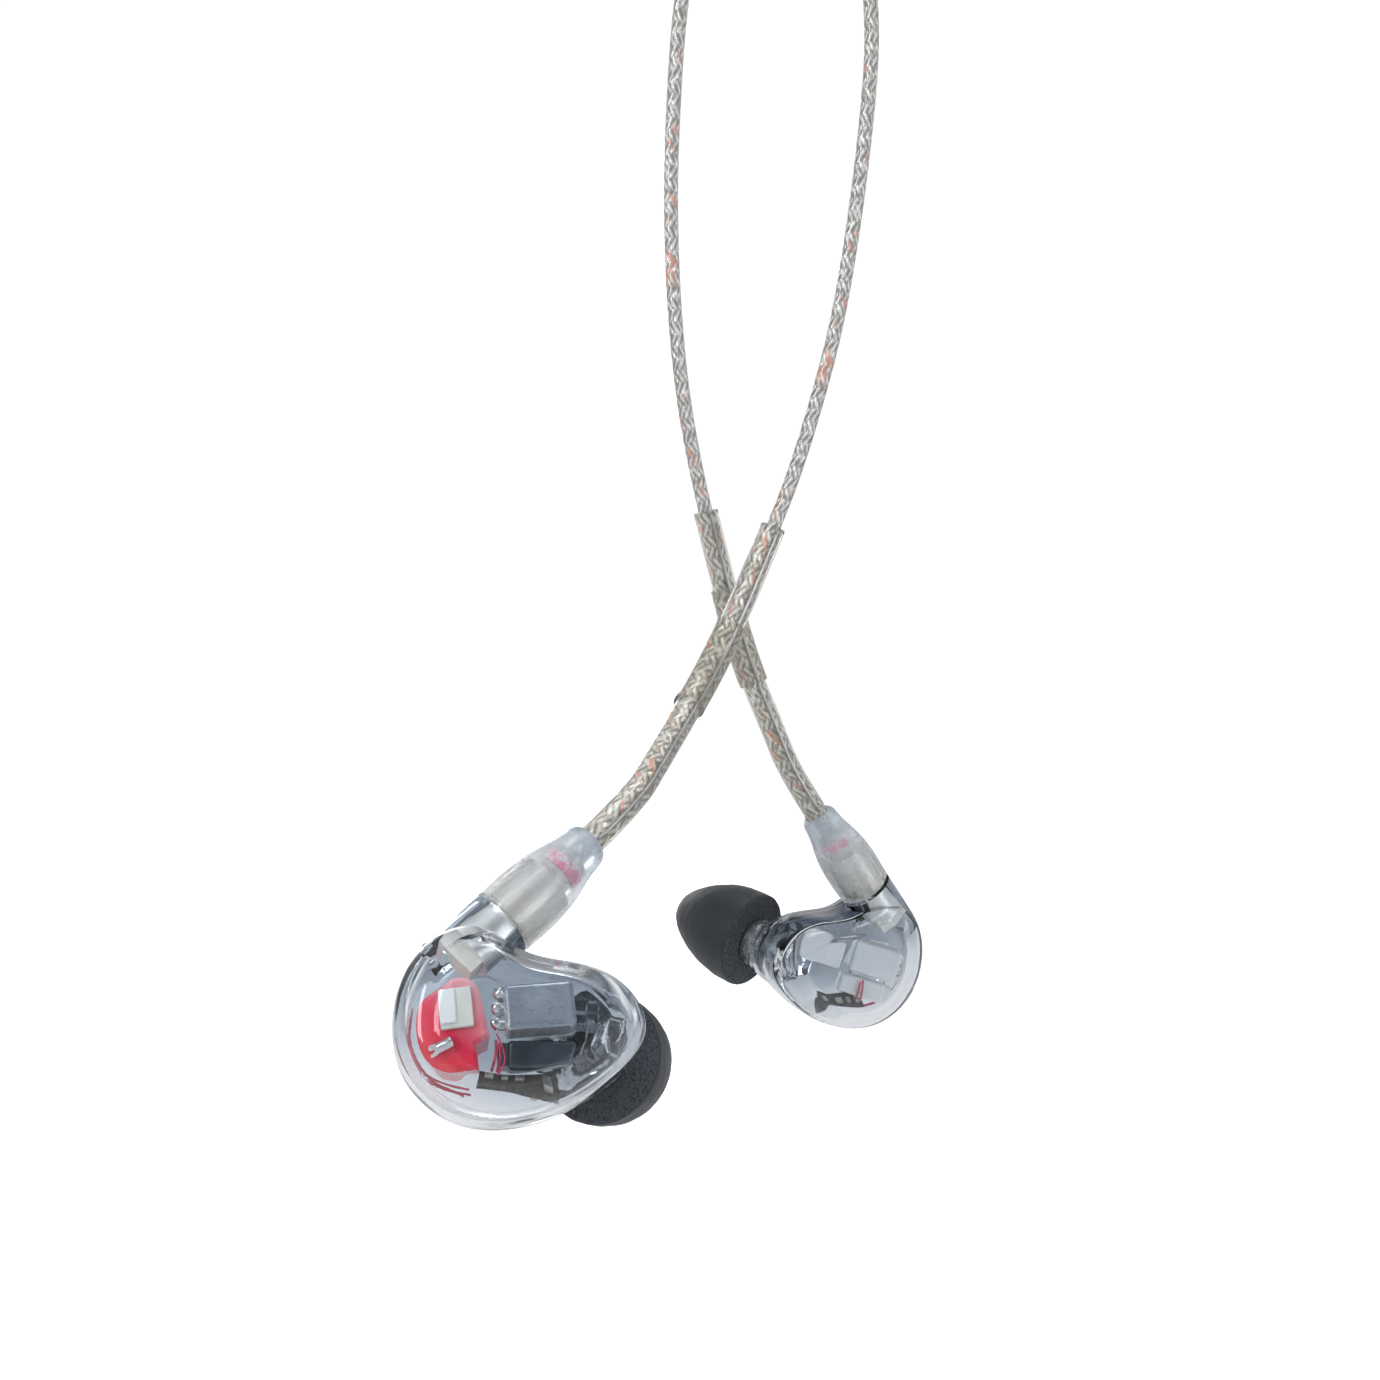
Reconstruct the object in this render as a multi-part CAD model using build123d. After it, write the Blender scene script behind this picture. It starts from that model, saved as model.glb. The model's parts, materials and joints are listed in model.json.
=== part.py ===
"""Universal-fit in-ear monitors: two clear earphones on a detachable braided cable.

The set hangs by its wound cable. The origin is the centre of the cable coil, which goes over a
peg, +Z is up and the faceplate of the first earphone looks towards -Y. Millimetres throughout.
"""
from build123d import *

import math
import os

os.makedirs("parts", exist_ok=True)

# ---- driving dimensions: earphone shell (own frame: X, Y across the face, +Z out of the face) ----
SHELL_OUTLINE = [
    (-9.4, 6.2), (-11.5, 0.8), (-10.0, -5.5), (-4.8, -9.2), (2.4, -8.7), (8.6, -5.0),
    (11.5, -0.3), (9.4, 3.3), (4.6, 5.1), (-0.4, 6.1), (-5.0, 8.3),
]
SHELL_FACE = 5.4  # height of the outer face above the middle plane
SHELL_BACK = 5.4  # depth of the inner side below the middle plane
SHELL_SECTIONS = [  # height as a share of the half thickness, pull-in as a share of SHELL_ROUND
    (-1.0, 0.95), (-0.86, 0.42), (-0.52, 0.1), (0.0, 0.0), (0.5, 0.07), (0.84, 0.36), (1.0, 0.9),
]
SHELL_WALL = 1.1
SHELL_ROUND = 3.4  # rounding of the outer edges
SEAM_HEIGHT = 2.6  # the faceplate joins the inner shell here
SEAM_GAP = 0.02
SEAT_FIT = 0.02  # radial clearance of parts that are glued into the shell

# ---- driving dimensions: connector neck, plug and boot (own frame: +Z along the cable) ----
NECK_POINT = (-2.6, 8.9, 0.4)  # centre of the neck's end face in the shell's frame
NECK_R = 3.5
NECK_LENGTH = 6.5
BOOT_GAP = 0.35  # between the neck's end face and the boot
BOOT_LENGTH = 12.4
BOOT_R = 3.5
BOOT_BELLY_R = 3.6
BOOT_END_R = 1.75
JACK_R = 2.6
JACK_BORE_R = 2.05
JACK_DEPTH = 3.4
JACK_LENGTH = 4.2
RUN_FIT = 0.05  # radial clearance of parts that turn or slide in each other
PLUG_WALL = 0.45
PLUG_NOSE = 2.6
PLUG_BARREL_R = 2.5
PLUG_BARREL = 6.0
PIN_R = 0.28
SNAP_DEPTH = 1.5  # from the neck's end face to the middle of the snap ring
SNAP_WIDTH = 0.5
SNAP_THICK = 0.3
SNAP_BORE_R = JACK_BORE_R - RUN_FIT - SNAP_THICK
SNAP_SIDE_FIT = 0.05  # between the ring and each side of its groove
JACK_STEM_R = 1.2
CONTACT_SLEEVE_R = 0.75
CRIMP_R = 1.45
STRAND_START = 9.85  # the strand begins here, in the crimp, from the neck's end face

# ---- driving dimensions: nozzle and ear tip (own frame: +Z out of the nozzle) ----
TIP_OFFSET = (10.7, -9.8, -9.1)  # from the neck point to the back of the ear tip, shell frame
NOZZLE_R = 2.5
NOZZLE_BORE_R = 1.7
NOZZLE_OUT = 5.0
NOZZLE_IN = 2.4
COLLAR_R = 3.15
COLLAR_RING = 0.5
COLLAR_GAP = 0.35
BOSS_R = 3.7
BOSS_ROOT_R = 4.7
BOSS_DEPTH = 5.0
BOSS_TO_TIP = 2.3
SCREEN_INSET = 0.3  # from the nozzle's mouth to the mesh
SCREEN_THICK = 0.3
TIP_R = 6.5
TIP_LENGTH = 12.0
TIP_BACK_GAP = 0.2
CORE_WALL = 0.45
CORE_LENGTH = 9.5
TIP_MOUTH_R = 2.1
TIP_RUN = 9.0  # the tip is off the nozzle after this travel

# ---- driving dimensions: what is inside a shell ----
WOOFER = (6.4, 4.3, 2.8)  # length, width and height of each driver's can
MID_DRIVER = (6.2, 2.6, 2.2)
TWEETER = (5.4, 3.6, 1.7)
TERMINAL_ROWS = (-1.35, 0.0, 1.35)  # the solder terminals across the large driver's end
TERMINAL_R = 0.5
DAMPER = (3.0, 3.6, 0.5)
SEATS = {  # centre of each piece, direction of its length and direction of its top
    "left": {
        "woofer": ((1.5, 0.6, 2.0), (0.99, 0.13, 0.0), (0.0, 0.16, 0.99)),
        "mid_driver": ((2.0, -3.4, 0.8), (1.0, 0.03, 0.0), (0.0, 0.08, 1.0)),
        "tweeter": ((2.4, 0.7, -1.7), (0.98, 0.12, 0.0), (0.0, 0.0, 1.0)),
        "damper_pad": ((-6.0, 0.1, 3.27), (0.98, 0.17, 0.0), (0.0, 0.0, 1.0)),
    },
    "right": {
        "woofer": ((-4.4, -0.2, 1.5), (0.93, 0.2, -0.3), (0.35, 0.1, 0.93)),
        "mid_driver": ((-2.9, -3.9, 1.35), (0.93, 0.2, -0.3), (0.35, 0.1, 0.93)),
        "tweeter": ((3.1, 0.95, 0.5), (0.93, 0.2, -0.3), (0.35, 0.1, 0.93)),
        "damper_pad": ((-6.6, -0.4, -1.33), (0.98, 0.17, 0.0), (0.0, 0.0, 1.0)),
    },
}
HOUSING_SPAN = {"left": (-2.6, 3.0), "right": (-3.1, -1.6)}  # lowest and highest level of the chamber
HOUSING_TOP = [(-7.4, 2.3), (-6.2, 3.0), (-4.9, 2.9), (-4.0, 2.0)]  # its outline, in three runs
HOUSING_STEP = [(-4.0, 2.0), (-2.75, -2.1), (-3.9, -2.9), (-3.5, -5.0)]
HOUSING_BOW = [(-3.5, -5.0), (-5.4, -5.5), (-7.6, -4.7), (-9.0, -2.2), (-9.1, 0.3), (-7.4, 2.3)]
HOUSING_CHAMFER = 0.4
DUCT_X = 6.6
WEDGE_X = 9.0
BOARD = (7.1, 0.25, 2.4)  # length, thickness and width of the circuit strip
BOARD_CENTRE = (-0.02, -6.0, 1.1)
BOARD_TILT = 38.0  # the strip's face is turned up towards the faceplate
BOARD_SLOPE = -4.0
CHIPS = [(-2.6, 0.8), (-1.2, 0.6), (0.2, 0.9), (1.5, 0.6), (2.7, 0.7)]  # place and length of each
CHIP_HEIGHT = 0.45
CHIP_WIDTH = 0.9
CHIP_GAP = 0.06
CHIP_RISE = 0.2
CHIP_ON_BACK = 3  # this one sits on the strip's back
WIRE_R = 0.13
WIRE_ROUTES = [
    [(-2.4, -5.2, 2.7), (-2.1, -3.9, 3.2), (-2.2, -2.5, 2.9)],
    [(-1.9, -5.2, 2.4), (-1.65, -4.0, 3.0), (-1.9, -2.8, 2.8)],
    [(-4.6, -6.9, 0.4), (-7.4, -6.0, 0.6), (-9.3, -4.0, 0.6), (-10.1, -1.6, 0.8)],
]

# ---- driving dimensions: cable ----
STRAND_R = 0.9
TRUNK_R = 1.25
SLEEVE_R = 1.55
SLEEVE_BORE_R = 0.94
HOOK_WIRE_R = 0.2
HOOK_WIRE_OFF = 1.22
COLLAR_SLEEVE_R = 1.85
COLLAR_SLEEVE_LENGTH = 12.5
COIL_MID_R = 14.0
COIL_TURNS = 10.6  # wound turns of the trunk, from one lead to the other
TIE_ANGLE = 130.0  # where the tie goes round the coil, from +X towards +Z
TIE_STRAP = 0.9
TIE_WIDTH = 5.0
TIE_CLEAR = 0.4
COIL_LAYERS = 3
COIL_COLUMNS = 4
PAIR_X = 3.4  # the two strands run side by side about this line
PAIR_HALF = 1.5
SPLIT_TOP = -36.0
SPLIT_BOTTOM = -48.0
SLIDER_TOP = -50.0
SLIDER_LENGTH = 7.0
SLIDER_TRAVEL = 8.0

# ---- where the two earphones hang: neck point, cable direction and nozzle direction ----
LEFT_NECK = Vector(-25.1, -34.0, -197.3)
LEFT_CABLE = Vector(0.632, 0.534, 0.561).normalized()
LEFT_NOZZLE = Vector(0.28, 0.89, -0.35).normalized()
LEFT_FACE = Vector(0.17, -0.87, 0.46).normalized()
RIGHT_NECK = Vector(16.3, 16.5, -201.4)
RIGHT_CABLE = Vector(-0.537, -0.252, 0.806).normalized()
RIGHT_NOZZLE = Vector(-0.75, 0.62, 0.24).normalized()

# ---- cable routes from each boot up to the splitter, and of the leads at the coil ----
LEFT_ROUTE = [
    (-10.6, -16.0, -182.6), (-7.6, -8.0, -177.7), (-4.4, -3.0, -172.1), (-1.3, -1.0, -165.7),
    (2.1, 0.0, -157.6), (5.2, 0.2, -150.0), (8.1, 0.3, -140.8), (10.8, 0.3, -130.6),
    (12.9, 0.3, -117.9), (14.4, 0.2, -105.3), (15.0, 0.1, -96.0), (14.2, 0.0, -86.5),
    (PAIR_X + PAIR_HALF, 0.0, -74.0), (PAIR_X + PAIR_HALF, 0.0, SPLIT_BOTTOM),
]
RIGHT_ROUTE = [
    (3.6, 10.0, -180.1), (1.0, 9.3, -174.0), (-1.1, 8.2, -168.0), (-3.1, 6.6, -160.6),
    (-5.0, 4.6, -153.5), (-6.8, 3.0, -145.6), (-8.2, 2.0, -137.1), (-9.1, 1.6, -126.4),
    (-9.4, 1.3, -114.8), (-9.0, 1.0, -103.9), (-8.3, 0.6, -93.5), (-7.0, 0.3, -85.5),
    (PAIR_X - PAIR_HALF, 0.0, -74.0), (PAIR_X - PAIR_HALF, 0.0, SPLIT_BOTTOM),
]
TRUNK_LEAD = [(PAIR_X, 0.0, SPLIT_TOP), (PAIR_X, 0.0, -28.0), (8.6, 0.0, -18.0), (14.3, 0.0, -8.3)]
PLUG_LEAD = [(-16.5, 0.0, -3.0), (-16.5, 0.0, -12.0), (-17.4, 0.0, -21.5), (-17.4, 0.0, -30.0)]
HOOK_START = BOOT_GAP + BOOT_LENGTH + 6.25  # straight along the boot's axis up to here, from the neck
SLEEVE_LENGTHS = {"left": 51.5, "right": 42.0}
COLLAR_SLEEVE_STARTS = {"left": 26.0, "right": 19.5}

# ---- driving dimensions: plug ----
PLUG_X = -17.4
PLUG_TOP = -30.0
PLUG_RELIEF = 8.0
PLUG_BODY_R = 4.2
PLUG_BODY = 15.0
JACK_PLUG_R = 1.75
JACK_PLUG_LENGTH = 14.0
PLUG_RINGS = [(5.6, 6.3), (8.2, 8.9)]  # from and to of each insulating ring, from the pin's root


# ---- frames ----
def mirrored(vector):
    """A vector of the left shell's frame in the mirrored frame of the right one."""
    return Vector(-vector.X, vector.Y, vector.Z)


def triad(first, second):
    """Three axes at right angles: along first, towards second, and across both."""
    across = first.cross(second).normalized()
    return first, across.cross(first), across


def solve_frame(local_pair, world_pair, local_point, world_point):
    """The plane that carries two local directions and a point to their places in the world."""
    local_axes = triad(*local_pair)
    world_axes = triad(*world_pair)

    def carry(vector):
        total = Vector(0, 0, 0)
        for inner, outer in zip(local_axes, world_axes):
            total += outer * vector.dot(inner)
        return total

    origin = world_point - carry(local_point)
    return Plane(origin=origin, x_dir=carry(Vector(1, 0, 0)), z_dir=carry(Vector(0, 0, 1)))


LEFT_X = (Vector(1, 0, 0) - LEFT_FACE * LEFT_FACE.X).normalized()
LEFT_Y = LEFT_FACE.cross(LEFT_X)


def in_left_frame(vector):
    return Vector(vector.dot(LEFT_X), vector.dot(LEFT_Y), vector.dot(LEFT_FACE))


CABLE = in_left_frame(LEFT_CABLE)  # cable direction in the shell's frame
NOZZLE = in_left_frame(LEFT_NOZZLE)  # nozzle direction in the shell's frame
NECK = Vector(*NECK_POINT)
TIP_BACK = NECK + Vector(*TIP_OFFSET)

SHELL_PLANES = {
    "left": solve_frame((CABLE, NOZZLE), (LEFT_CABLE, LEFT_NOZZLE), NECK, LEFT_NECK),
    "right": solve_frame(
        (mirrored(CABLE), mirrored(NOZZLE)), (RIGHT_CABLE, RIGHT_NOZZLE), mirrored(NECK), RIGHT_NECK
    ),
}


def place(shape, side):
    """A shape of the left shell's frame, mirrored for the right side, in its place."""
    if side == "right":
        shape = mirror(shape, about=Plane.YZ)
    return SHELL_PLANES[side].location * shape


NECK_PLANE = Plane(origin=NECK, z_dir=CABLE)
TIP_PLANE = Plane(origin=TIP_BACK, z_dir=NOZZLE)


def write(shape, node):
    export_step(shape, f"parts/{node}.step")


def ring(outer, inner, low, high):
    """A tube about the Z axis."""
    tube = Pos(0, 0, low) * Cylinder(outer, high - low, align=(Align.CENTER, Align.CENTER, Align.MIN))
    bore = Pos(0, 0, low - 1) * Cylinder(inner, high - low + 2, align=(Align.CENTER, Align.CENTER, Align.MIN))
    return tube - bore


def rod(radius, low, high):
    return Pos(0, 0, low) * Cylinder(radius, high - low, align=(Align.CENTER, Align.CENTER, Align.MIN))


def turned(profile):
    """A solid turned about the Z axis from (radius, height) points or edges of a closed outline."""
    return revolve(Plane.XZ * make_face(profile), axis=Axis.Z)


def can(length, width, height, rounding):
    """A pressed can with rounded edges."""
    block = Box(length, width, height)
    return fillet(block.edges(), rounding)


# ---- earphone shell ----
def shell_form(inset):
    """The rounded shell body, inset by a wall's thickness: sections lofted from back to face."""
    middle_r = 10.0  # mean distance of the outline from its middle
    sections = []
    for height, pull in SHELL_SECTIONS:
        span = SHELL_FACE if height > 0 else SHELL_BACK
        share = 1 - (pull * SHELL_ROUND + inset) / middle_r
        points = [(x * share, y * share) for x, y in SHELL_OUTLINE]
        outline = make_face(Spline(*points, periodic=True))
        sections.append(Pos(0, 0, height * (span - inset)) * outline)
    return loft(sections)


def shell_halves():
    """The faceplate and the inner shell, with the connector neck and the nozzle boss."""
    outer = shell_form(0)
    neck = NECK_PLANE.location * rod(NECK_R, -NECK_LENGTH, 0)
    boss_root = -BOSS_TO_TIP - BOSS_DEPTH
    boss_middle = TIP_PLANE.location * Pos(0, 0, (boss_root - BOSS_TO_TIP) / 2)
    boss = boss_middle * Cone(BOSS_ROOT_R, BOSS_R, BOSS_DEPTH)
    cavity = shell_form(SHELL_WALL)
    jack_hole = NECK_PLANE.location * rod(JACK_R + SEAT_FIT, -NECK_LENGTH - 1, 1)
    nozzle_hole = TIP_PLANE.location * rod(NOZZLE_R + SEAT_FIT, boss_root, 1)
    whole = outer + neck + boss - cavity - jack_hole - nozzle_hole
    seam = Plane.XY.offset(SEAM_HEIGHT)
    above = Plane.XY.offset(SEAM_HEIGHT + SEAM_GAP)
    cap = split(whole, bisect_by=above, keep=Keep.TOP)
    tub = split(whole, bisect_by=seam, keep=Keep.BOTTOM)
    return cap, tub


# ---- nozzle and ear tip, about the nozzle's axis with zero at the back of the tip ----
def nozzle():
    """The metal nozzle tube with two thin collar rings at its root."""
    tube = ring(NOZZLE_R, NOZZLE_BORE_R, -BOSS_TO_TIP - NOZZLE_IN, NOZZLE_OUT)
    top = -TIP_BACK_GAP
    for index in range(2):
        low = top - COLLAR_RING - index * (COLLAR_RING + COLLAR_GAP)
        tube += ring(COLLAR_R, NOZZLE_R - 0.1, low, low + COLLAR_RING)
    return tube


def nozzle_screen():
    """The fine mesh disc that closes the nozzle's bore."""
    return rod(NOZZLE_BORE_R, NOZZLE_OUT - SCREEN_INSET - SCREEN_THICK, NOZZLE_OUT - SCREEN_INSET)


def foam_tip():
    """The foam bullet with a bore for its core and a narrower sound outlet."""
    core_r = NOZZLE_R + RUN_FIT + CORE_WALL
    with BuildLine() as outline:
        Polyline((core_r, 0), (TIP_R - 0.3, 0), (TIP_R, 0.4), (TIP_R, 2.2))
        Spline(
            (TIP_R, 2.2), (TIP_R - 0.75, 6.2), (TIP_R - 2.6, 10.4), (TIP_MOUTH_R, TIP_LENGTH),
            tangents=((0, 1), (-1, 0.12)),
        )
        Polyline((TIP_MOUTH_R, TIP_LENGTH), (TIP_MOUTH_R, CORE_LENGTH), (core_r, CORE_LENGTH), (core_r, 0))
    return turned(outline.line)


def tip_core():
    """The soft tube inside the foam that grips the nozzle."""
    bore = NOZZLE_R + RUN_FIT
    return ring(bore + CORE_WALL, bore, 0, CORE_LENGTH)


# ---- connector, boot, about the cable's axis with zero at the neck's end face ----
def jack_body():
    """The metal socket in the shell's neck, open towards the plug."""
    shell = rod(JACK_R, -JACK_LENGTH, 0) - rod(JACK_BORE_R, -JACK_DEPTH, 1)
    return shell - rod(JACK_STEM_R, -JACK_LENGTH - 1, -JACK_DEPTH + 0.5)


def jack_block():
    """The moulded insulator behind the socket, with the centre contact's sleeve."""
    block = Pos(0, 0, -JACK_LENGTH - 0.7) * Box(3.6, 2.9, 1.4)
    stem = rod(JACK_STEM_R, -JACK_LENGTH - 0.2, -JACK_DEPTH)
    socket = rod(CONTACT_SLEEVE_R, -JACK_DEPTH - 0.1, -1.0)
    return block + stem + socket - rod(PIN_R + RUN_FIT, -JACK_LENGTH, 1)


def plug_shell():
    """The plug's metal barrel inside the boot, with its nose for the socket and the cable's crimp."""
    nose_r = JACK_BORE_R - RUN_FIT
    low = -PLUG_NOSE
    body = rod(nose_r, low, BOOT_GAP + 0.1) + rod(PLUG_BARREL_R, BOOT_GAP, BOOT_GAP + PLUG_BARREL)
    body += rod(CRIMP_R, BOOT_GAP + PLUG_BARREL - 0.1, STRAND_START)
    body -= rod(nose_r - PLUG_WALL - SNAP_THICK, low - 1, BOOT_GAP + 1.2)
    body -= rod(PIN_R, BOOT_GAP, BOOT_GAP + 2.4)
    groove_half = SNAP_WIDTH / 2 + SNAP_SIDE_FIT
    groove = ring(nose_r + 1, SNAP_BORE_R - RUN_FIT, -SNAP_DEPTH - groove_half, -SNAP_DEPTH + groove_half)
    return body - groove


def plug_pin():
    """The plug's centre pin."""
    return rod(PIN_R, -PLUG_NOSE + 0.3, BOOT_GAP + 2.4)


def snap_ring():
    """The split ring that holds the plug in the socket and lets it turn."""
    outer = JACK_BORE_R - RUN_FIT / 2
    band = ring(outer, SNAP_BORE_R, -SNAP_DEPTH - SNAP_WIDTH / 2, -SNAP_DEPTH + SNAP_WIDTH / 2)
    return band - Pos(outer, 0, -SNAP_DEPTH) * Box(outer, 0.7, 1)


def boot():
    """The frosted strain relief: a blunt bullet round the plug's barrel and the cable."""
    low = BOOT_GAP
    high = BOOT_GAP + BOOT_LENGTH
    barrel_top = BOOT_GAP + PLUG_BARREL
    with BuildLine() as outline:
        Polyline((PLUG_BARREL_R, low), (BOOT_R - 0.25, low), (BOOT_R, low + 0.3))
        Spline(
            (BOOT_R, low + 0.3), (BOOT_BELLY_R, low + 3.6), (BOOT_BELLY_R - 0.45, low + 7.6),
            (BOOT_BELLY_R - 1.15, high - 1.6), (BOOT_END_R, high), tangents=((0.03, 1), (-1, 0.3)),
        )
        Polyline(
            (BOOT_END_R, high), (STRAND_R, high), (STRAND_R, STRAND_START), (CRIMP_R, STRAND_START),
            (CRIMP_R, barrel_top), (PLUG_BARREL_R, barrel_top), (PLUG_BARREL_R, low),
        )
    return turned(outline.line)


# ---- what is inside a shell, in the left shell's frame ----
def seated(piece, side, shape):
    """A shape about its own centre, set in its seat in the shell."""
    centre, length_dir, top_dir = SEATS[side][piece]
    return Plane(origin=centre, x_dir=length_dir, z_dir=top_dir).location * shape


def woofer():
    """The large driver: a rounded can with three solder terminals on one end."""
    body = can(*WOOFER, 0.5)
    for row in TERMINAL_ROWS:
        body += Pos(-WOOFER[0] / 2 - 0.2, row, 0.4) * Cylinder(TERMINAL_R, 0.6, rotation=(0, 90, 0))
    return body


def mid_driver():
    """The second driver, with its end cap."""
    length, width, height = MID_DRIVER
    cap = Pos(-length / 2 - 0.35, 0, 0) * Box(0.9, width - 0.5, height - 0.4)
    return can(*MID_DRIVER, 0.45) + cap


def tweeter():
    """The small flat driver."""
    return can(*TWEETER, 0.35)


def acoustic_housing(low, high):
    """The tinted resin chamber that loads the large driver."""
    with BuildLine() as outline:
        Spline(*HOUSING_TOP)
        Polyline(*HOUSING_STEP)
        Spline(*HOUSING_BOW)
    body = extrude(Pos(0, 0, low) * make_face(outline.line), high - low)
    top = body.faces().sort_by(Axis.Z)[-1]
    return chamfer(top.edges(), HOUSING_CHAMFER)


def damper_pad():
    """The fine felt pad on the chamber's vent."""
    return can(*DAMPER, 0.15)


def sound_duct():
    """The clear manifold from the drivers' outlets to the nozzle."""
    bar = Pos(DUCT_X, -0.6, -0.6) * fillet(Box(1.1, 5.6, 1.4).edges(), 0.3)
    wedge = Pos(WEDGE_X, -1.2, 0.4) * Rot(0, 0, -14) * fillet(Box(1.1, 3.4, 2.4).edges(), 0.3)
    link = Pos((DUCT_X + WEDGE_X) / 2, -2.6, -0.4) * Box(WEDGE_X - DUCT_X, 0.8, 0.8)
    return bar + link + wedge


def on_board(shape):
    """A shape about the strip's centre, with +Y out of its visible face, set in the shell."""
    return Pos(*BOARD_CENTRE) * Rot(0, 0, BOARD_SLOPE) * Rot(BOARD_TILT, 0, 0) * shape


def circuit_board():
    """The black flexible strip that joins the drivers to the connector."""
    return on_board(Box(*BOARD))


def board_components():
    """Small chips and pins along the strip, on its face and one on its back."""
    parts = []
    for index, (middle, length) in enumerate(CHIPS):
        side = -1 if index == CHIP_ON_BACK else 1
        off = side * (BOARD[1] / 2 + CHIP_GAP + CHIP_HEIGHT / 2)
        parts.append(on_board(Pos(middle, off, CHIP_RISE) * Box(length, CHIP_HEIGHT, CHIP_WIDTH)))
    return Compound(parts)


def wires():
    """Enamelled wires from the board to the drivers and round the wall to the socket."""
    return Compound([tube(route, WIRE_R) for route in WIRE_ROUTES])


# ---- cable routes ----
def bend_radii(points):
    """For each corner the largest arc that its two runs allow."""
    radii = []
    for before, corner, after in zip(points, points[1:], points[2:]):
        first = corner - before
        second = after - corner
        turn = math.radians(first.get_angle(second))
        radii.append(0.45 * min(first.length, second.length) / math.tan(turn / 2))
    return radii


def vectors(points):
    return [Vector(*p) if isinstance(p, tuple) else p for p in points]


def route_path(points):
    """The smooth path through a route's corners, each rounded as far as its runs allow."""
    corners = vectors(points)
    return FilletPolyline(*corners, radius=bend_radii(corners))


def across(path, at, off=0.0):
    """The section plane of a path, with an optional offset to one side."""
    plane = Plane(origin=path @ at, z_dir=path % at)
    return plane.location * Pos(off, 0, 0)


def tube(points, radius):
    path = route_path(points)
    return sweep(across(path, 0) * Circle(radius), path=path)


def cable_points(side):
    """The strand's whole route, from its crimp in the boot to the splitter."""
    neck = {"left": LEFT_NECK, "right": RIGHT_NECK}[side]
    axis = {"left": LEFT_CABLE, "right": RIGHT_CABLE}[side]
    start = neck + axis * STRAND_START
    route = {"left": LEFT_ROUTE, "right": RIGHT_ROUTE}[side]
    return [start, neck + axis * HOOK_START] + vectors(route)


def along(path, low, high):
    """The stretch of a path between two lengths from its start."""
    return path.wire().trim(low / path.length, high / path.length)


def strand(side):
    points = cable_points(side)
    solid = tube(points, STRAND_R)
    path = route_path(points)
    report(f"{side}_strand", points, path, solid, STRAND_R)
    return solid


def sleeve_tube(path, outer, inner):
    return sweep(across(path, 0) * (Circle(outer) - Circle(inner)), path=path)


def hook_parts(side):
    """The formed sleeve over the strand, its wire, and the short collar sleeve over it."""
    path = route_path(cable_points(side))
    first = BOOT_GAP + BOOT_LENGTH - STRAND_START
    last = first + SLEEVE_LENGTHS[side]
    stretch = along(path, first, last)
    wire_stretch = along(path, first + 0.5, last - 0.5)
    sleeve = sleeve_tube(stretch, SLEEVE_R, SLEEVE_BORE_R)
    section = across(stretch, 0, HOOK_WIRE_OFF)
    channel = sweep(section * Circle(HOOK_WIRE_R + 0.02), path=stretch)
    wire = sweep(section * Circle(HOOK_WIRE_R), path=stretch)
    low = first + COLLAR_SLEEVE_STARTS[side]
    collar = sleeve_tube(along(path, low, low + COLLAR_SLEEVE_LENGTH), COLLAR_SLEEVE_R, SLEEVE_R + 0.02)
    return sleeve - channel, wire, collar


def report(name, points, path, solid, radius):
    """Prints the bends of a cable tube, and its volume against section times length."""
    shown = ", ".join(f"{r:.1f}" for r in bend_radii(vectors(points)))
    expected = math.pi * radius**2 * path.length
    print(f"{name}: length {path.length:.1f}, volume {solid.volume:.1f} of {expected:.1f}, radii {shown}")


# ---- splitter, slider, coil and plug ----
def splitter():
    """The moulded Y where the two strands join into the trunk."""
    height = SPLIT_TOP - SPLIT_BOTTOM
    body = loft([
        Pos(PAIR_X, 0, SPLIT_BOTTOM) * RectangleRounded(6.6, 4.0, 1.9),
        Pos(PAIR_X, 0, SPLIT_BOTTOM + 0.45 * height) * RectangleRounded(6.2, 4.2, 2.0),
        Pos(PAIR_X, 0, SPLIT_TOP) * RectangleRounded(3.9, 3.8, 1.85),
    ])
    return body


def slider():
    """The chin slider on the two strands."""
    low = SLIDER_TOP - SLIDER_LENGTH
    body = extrude(Pos(PAIR_X, 0, low) * RectangleRounded(6.8, 4.2, 2.0), SLIDER_LENGTH)
    ends = body.faces().sort_by(Axis.Z)
    body = fillet(ends[0].edges() + ends[-1].edges(), 0.5)
    for side in (-1, 1):
        body -= Pos(PAIR_X + side * PAIR_HALF, 0, 0) * rod(STRAND_R + RUN_FIT, low - 1, SLIDER_TOP + 1)
    return body


def coil():
    """The outer shape of the wound trunk."""
    width = COIL_COLUMNS * 2 * TRUNK_R
    depth = COIL_LAYERS * 2 * TRUNK_R
    section = Pos(COIL_MID_R, 0, 0) * Plane.XY * RectangleRounded(depth, width, TRUNK_R)
    return revolve(section, axis=Axis((0, 0, 0), (0, 1, 0)))


def coil_tie():
    """A soft strap round the coil's bundle."""
    width = COIL_COLUMNS * 2 * TRUNK_R + 2 * TIE_CLEAR
    depth = COIL_LAYERS * 2 * TRUNK_R + 2 * TIE_CLEAR
    corner = TRUNK_R + TIE_STRAP
    outside = Plane.XY * RectangleRounded(depth + 2 * TIE_STRAP, width + 2 * TIE_STRAP, corner)
    inside = Plane.XY * RectangleRounded(depth, width, TRUNK_R)
    band = extrude(outside - inside, TIE_WIDTH / 2, both=True)
    turn = math.radians(TIE_ANGLE)
    outward = Vector(math.cos(turn), 0, math.sin(turn))
    onward = Vector(-math.sin(turn), 0, math.cos(turn))
    return Plane(origin=outward * COIL_MID_R, x_dir=outward, z_dir=onward).location * band


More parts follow.
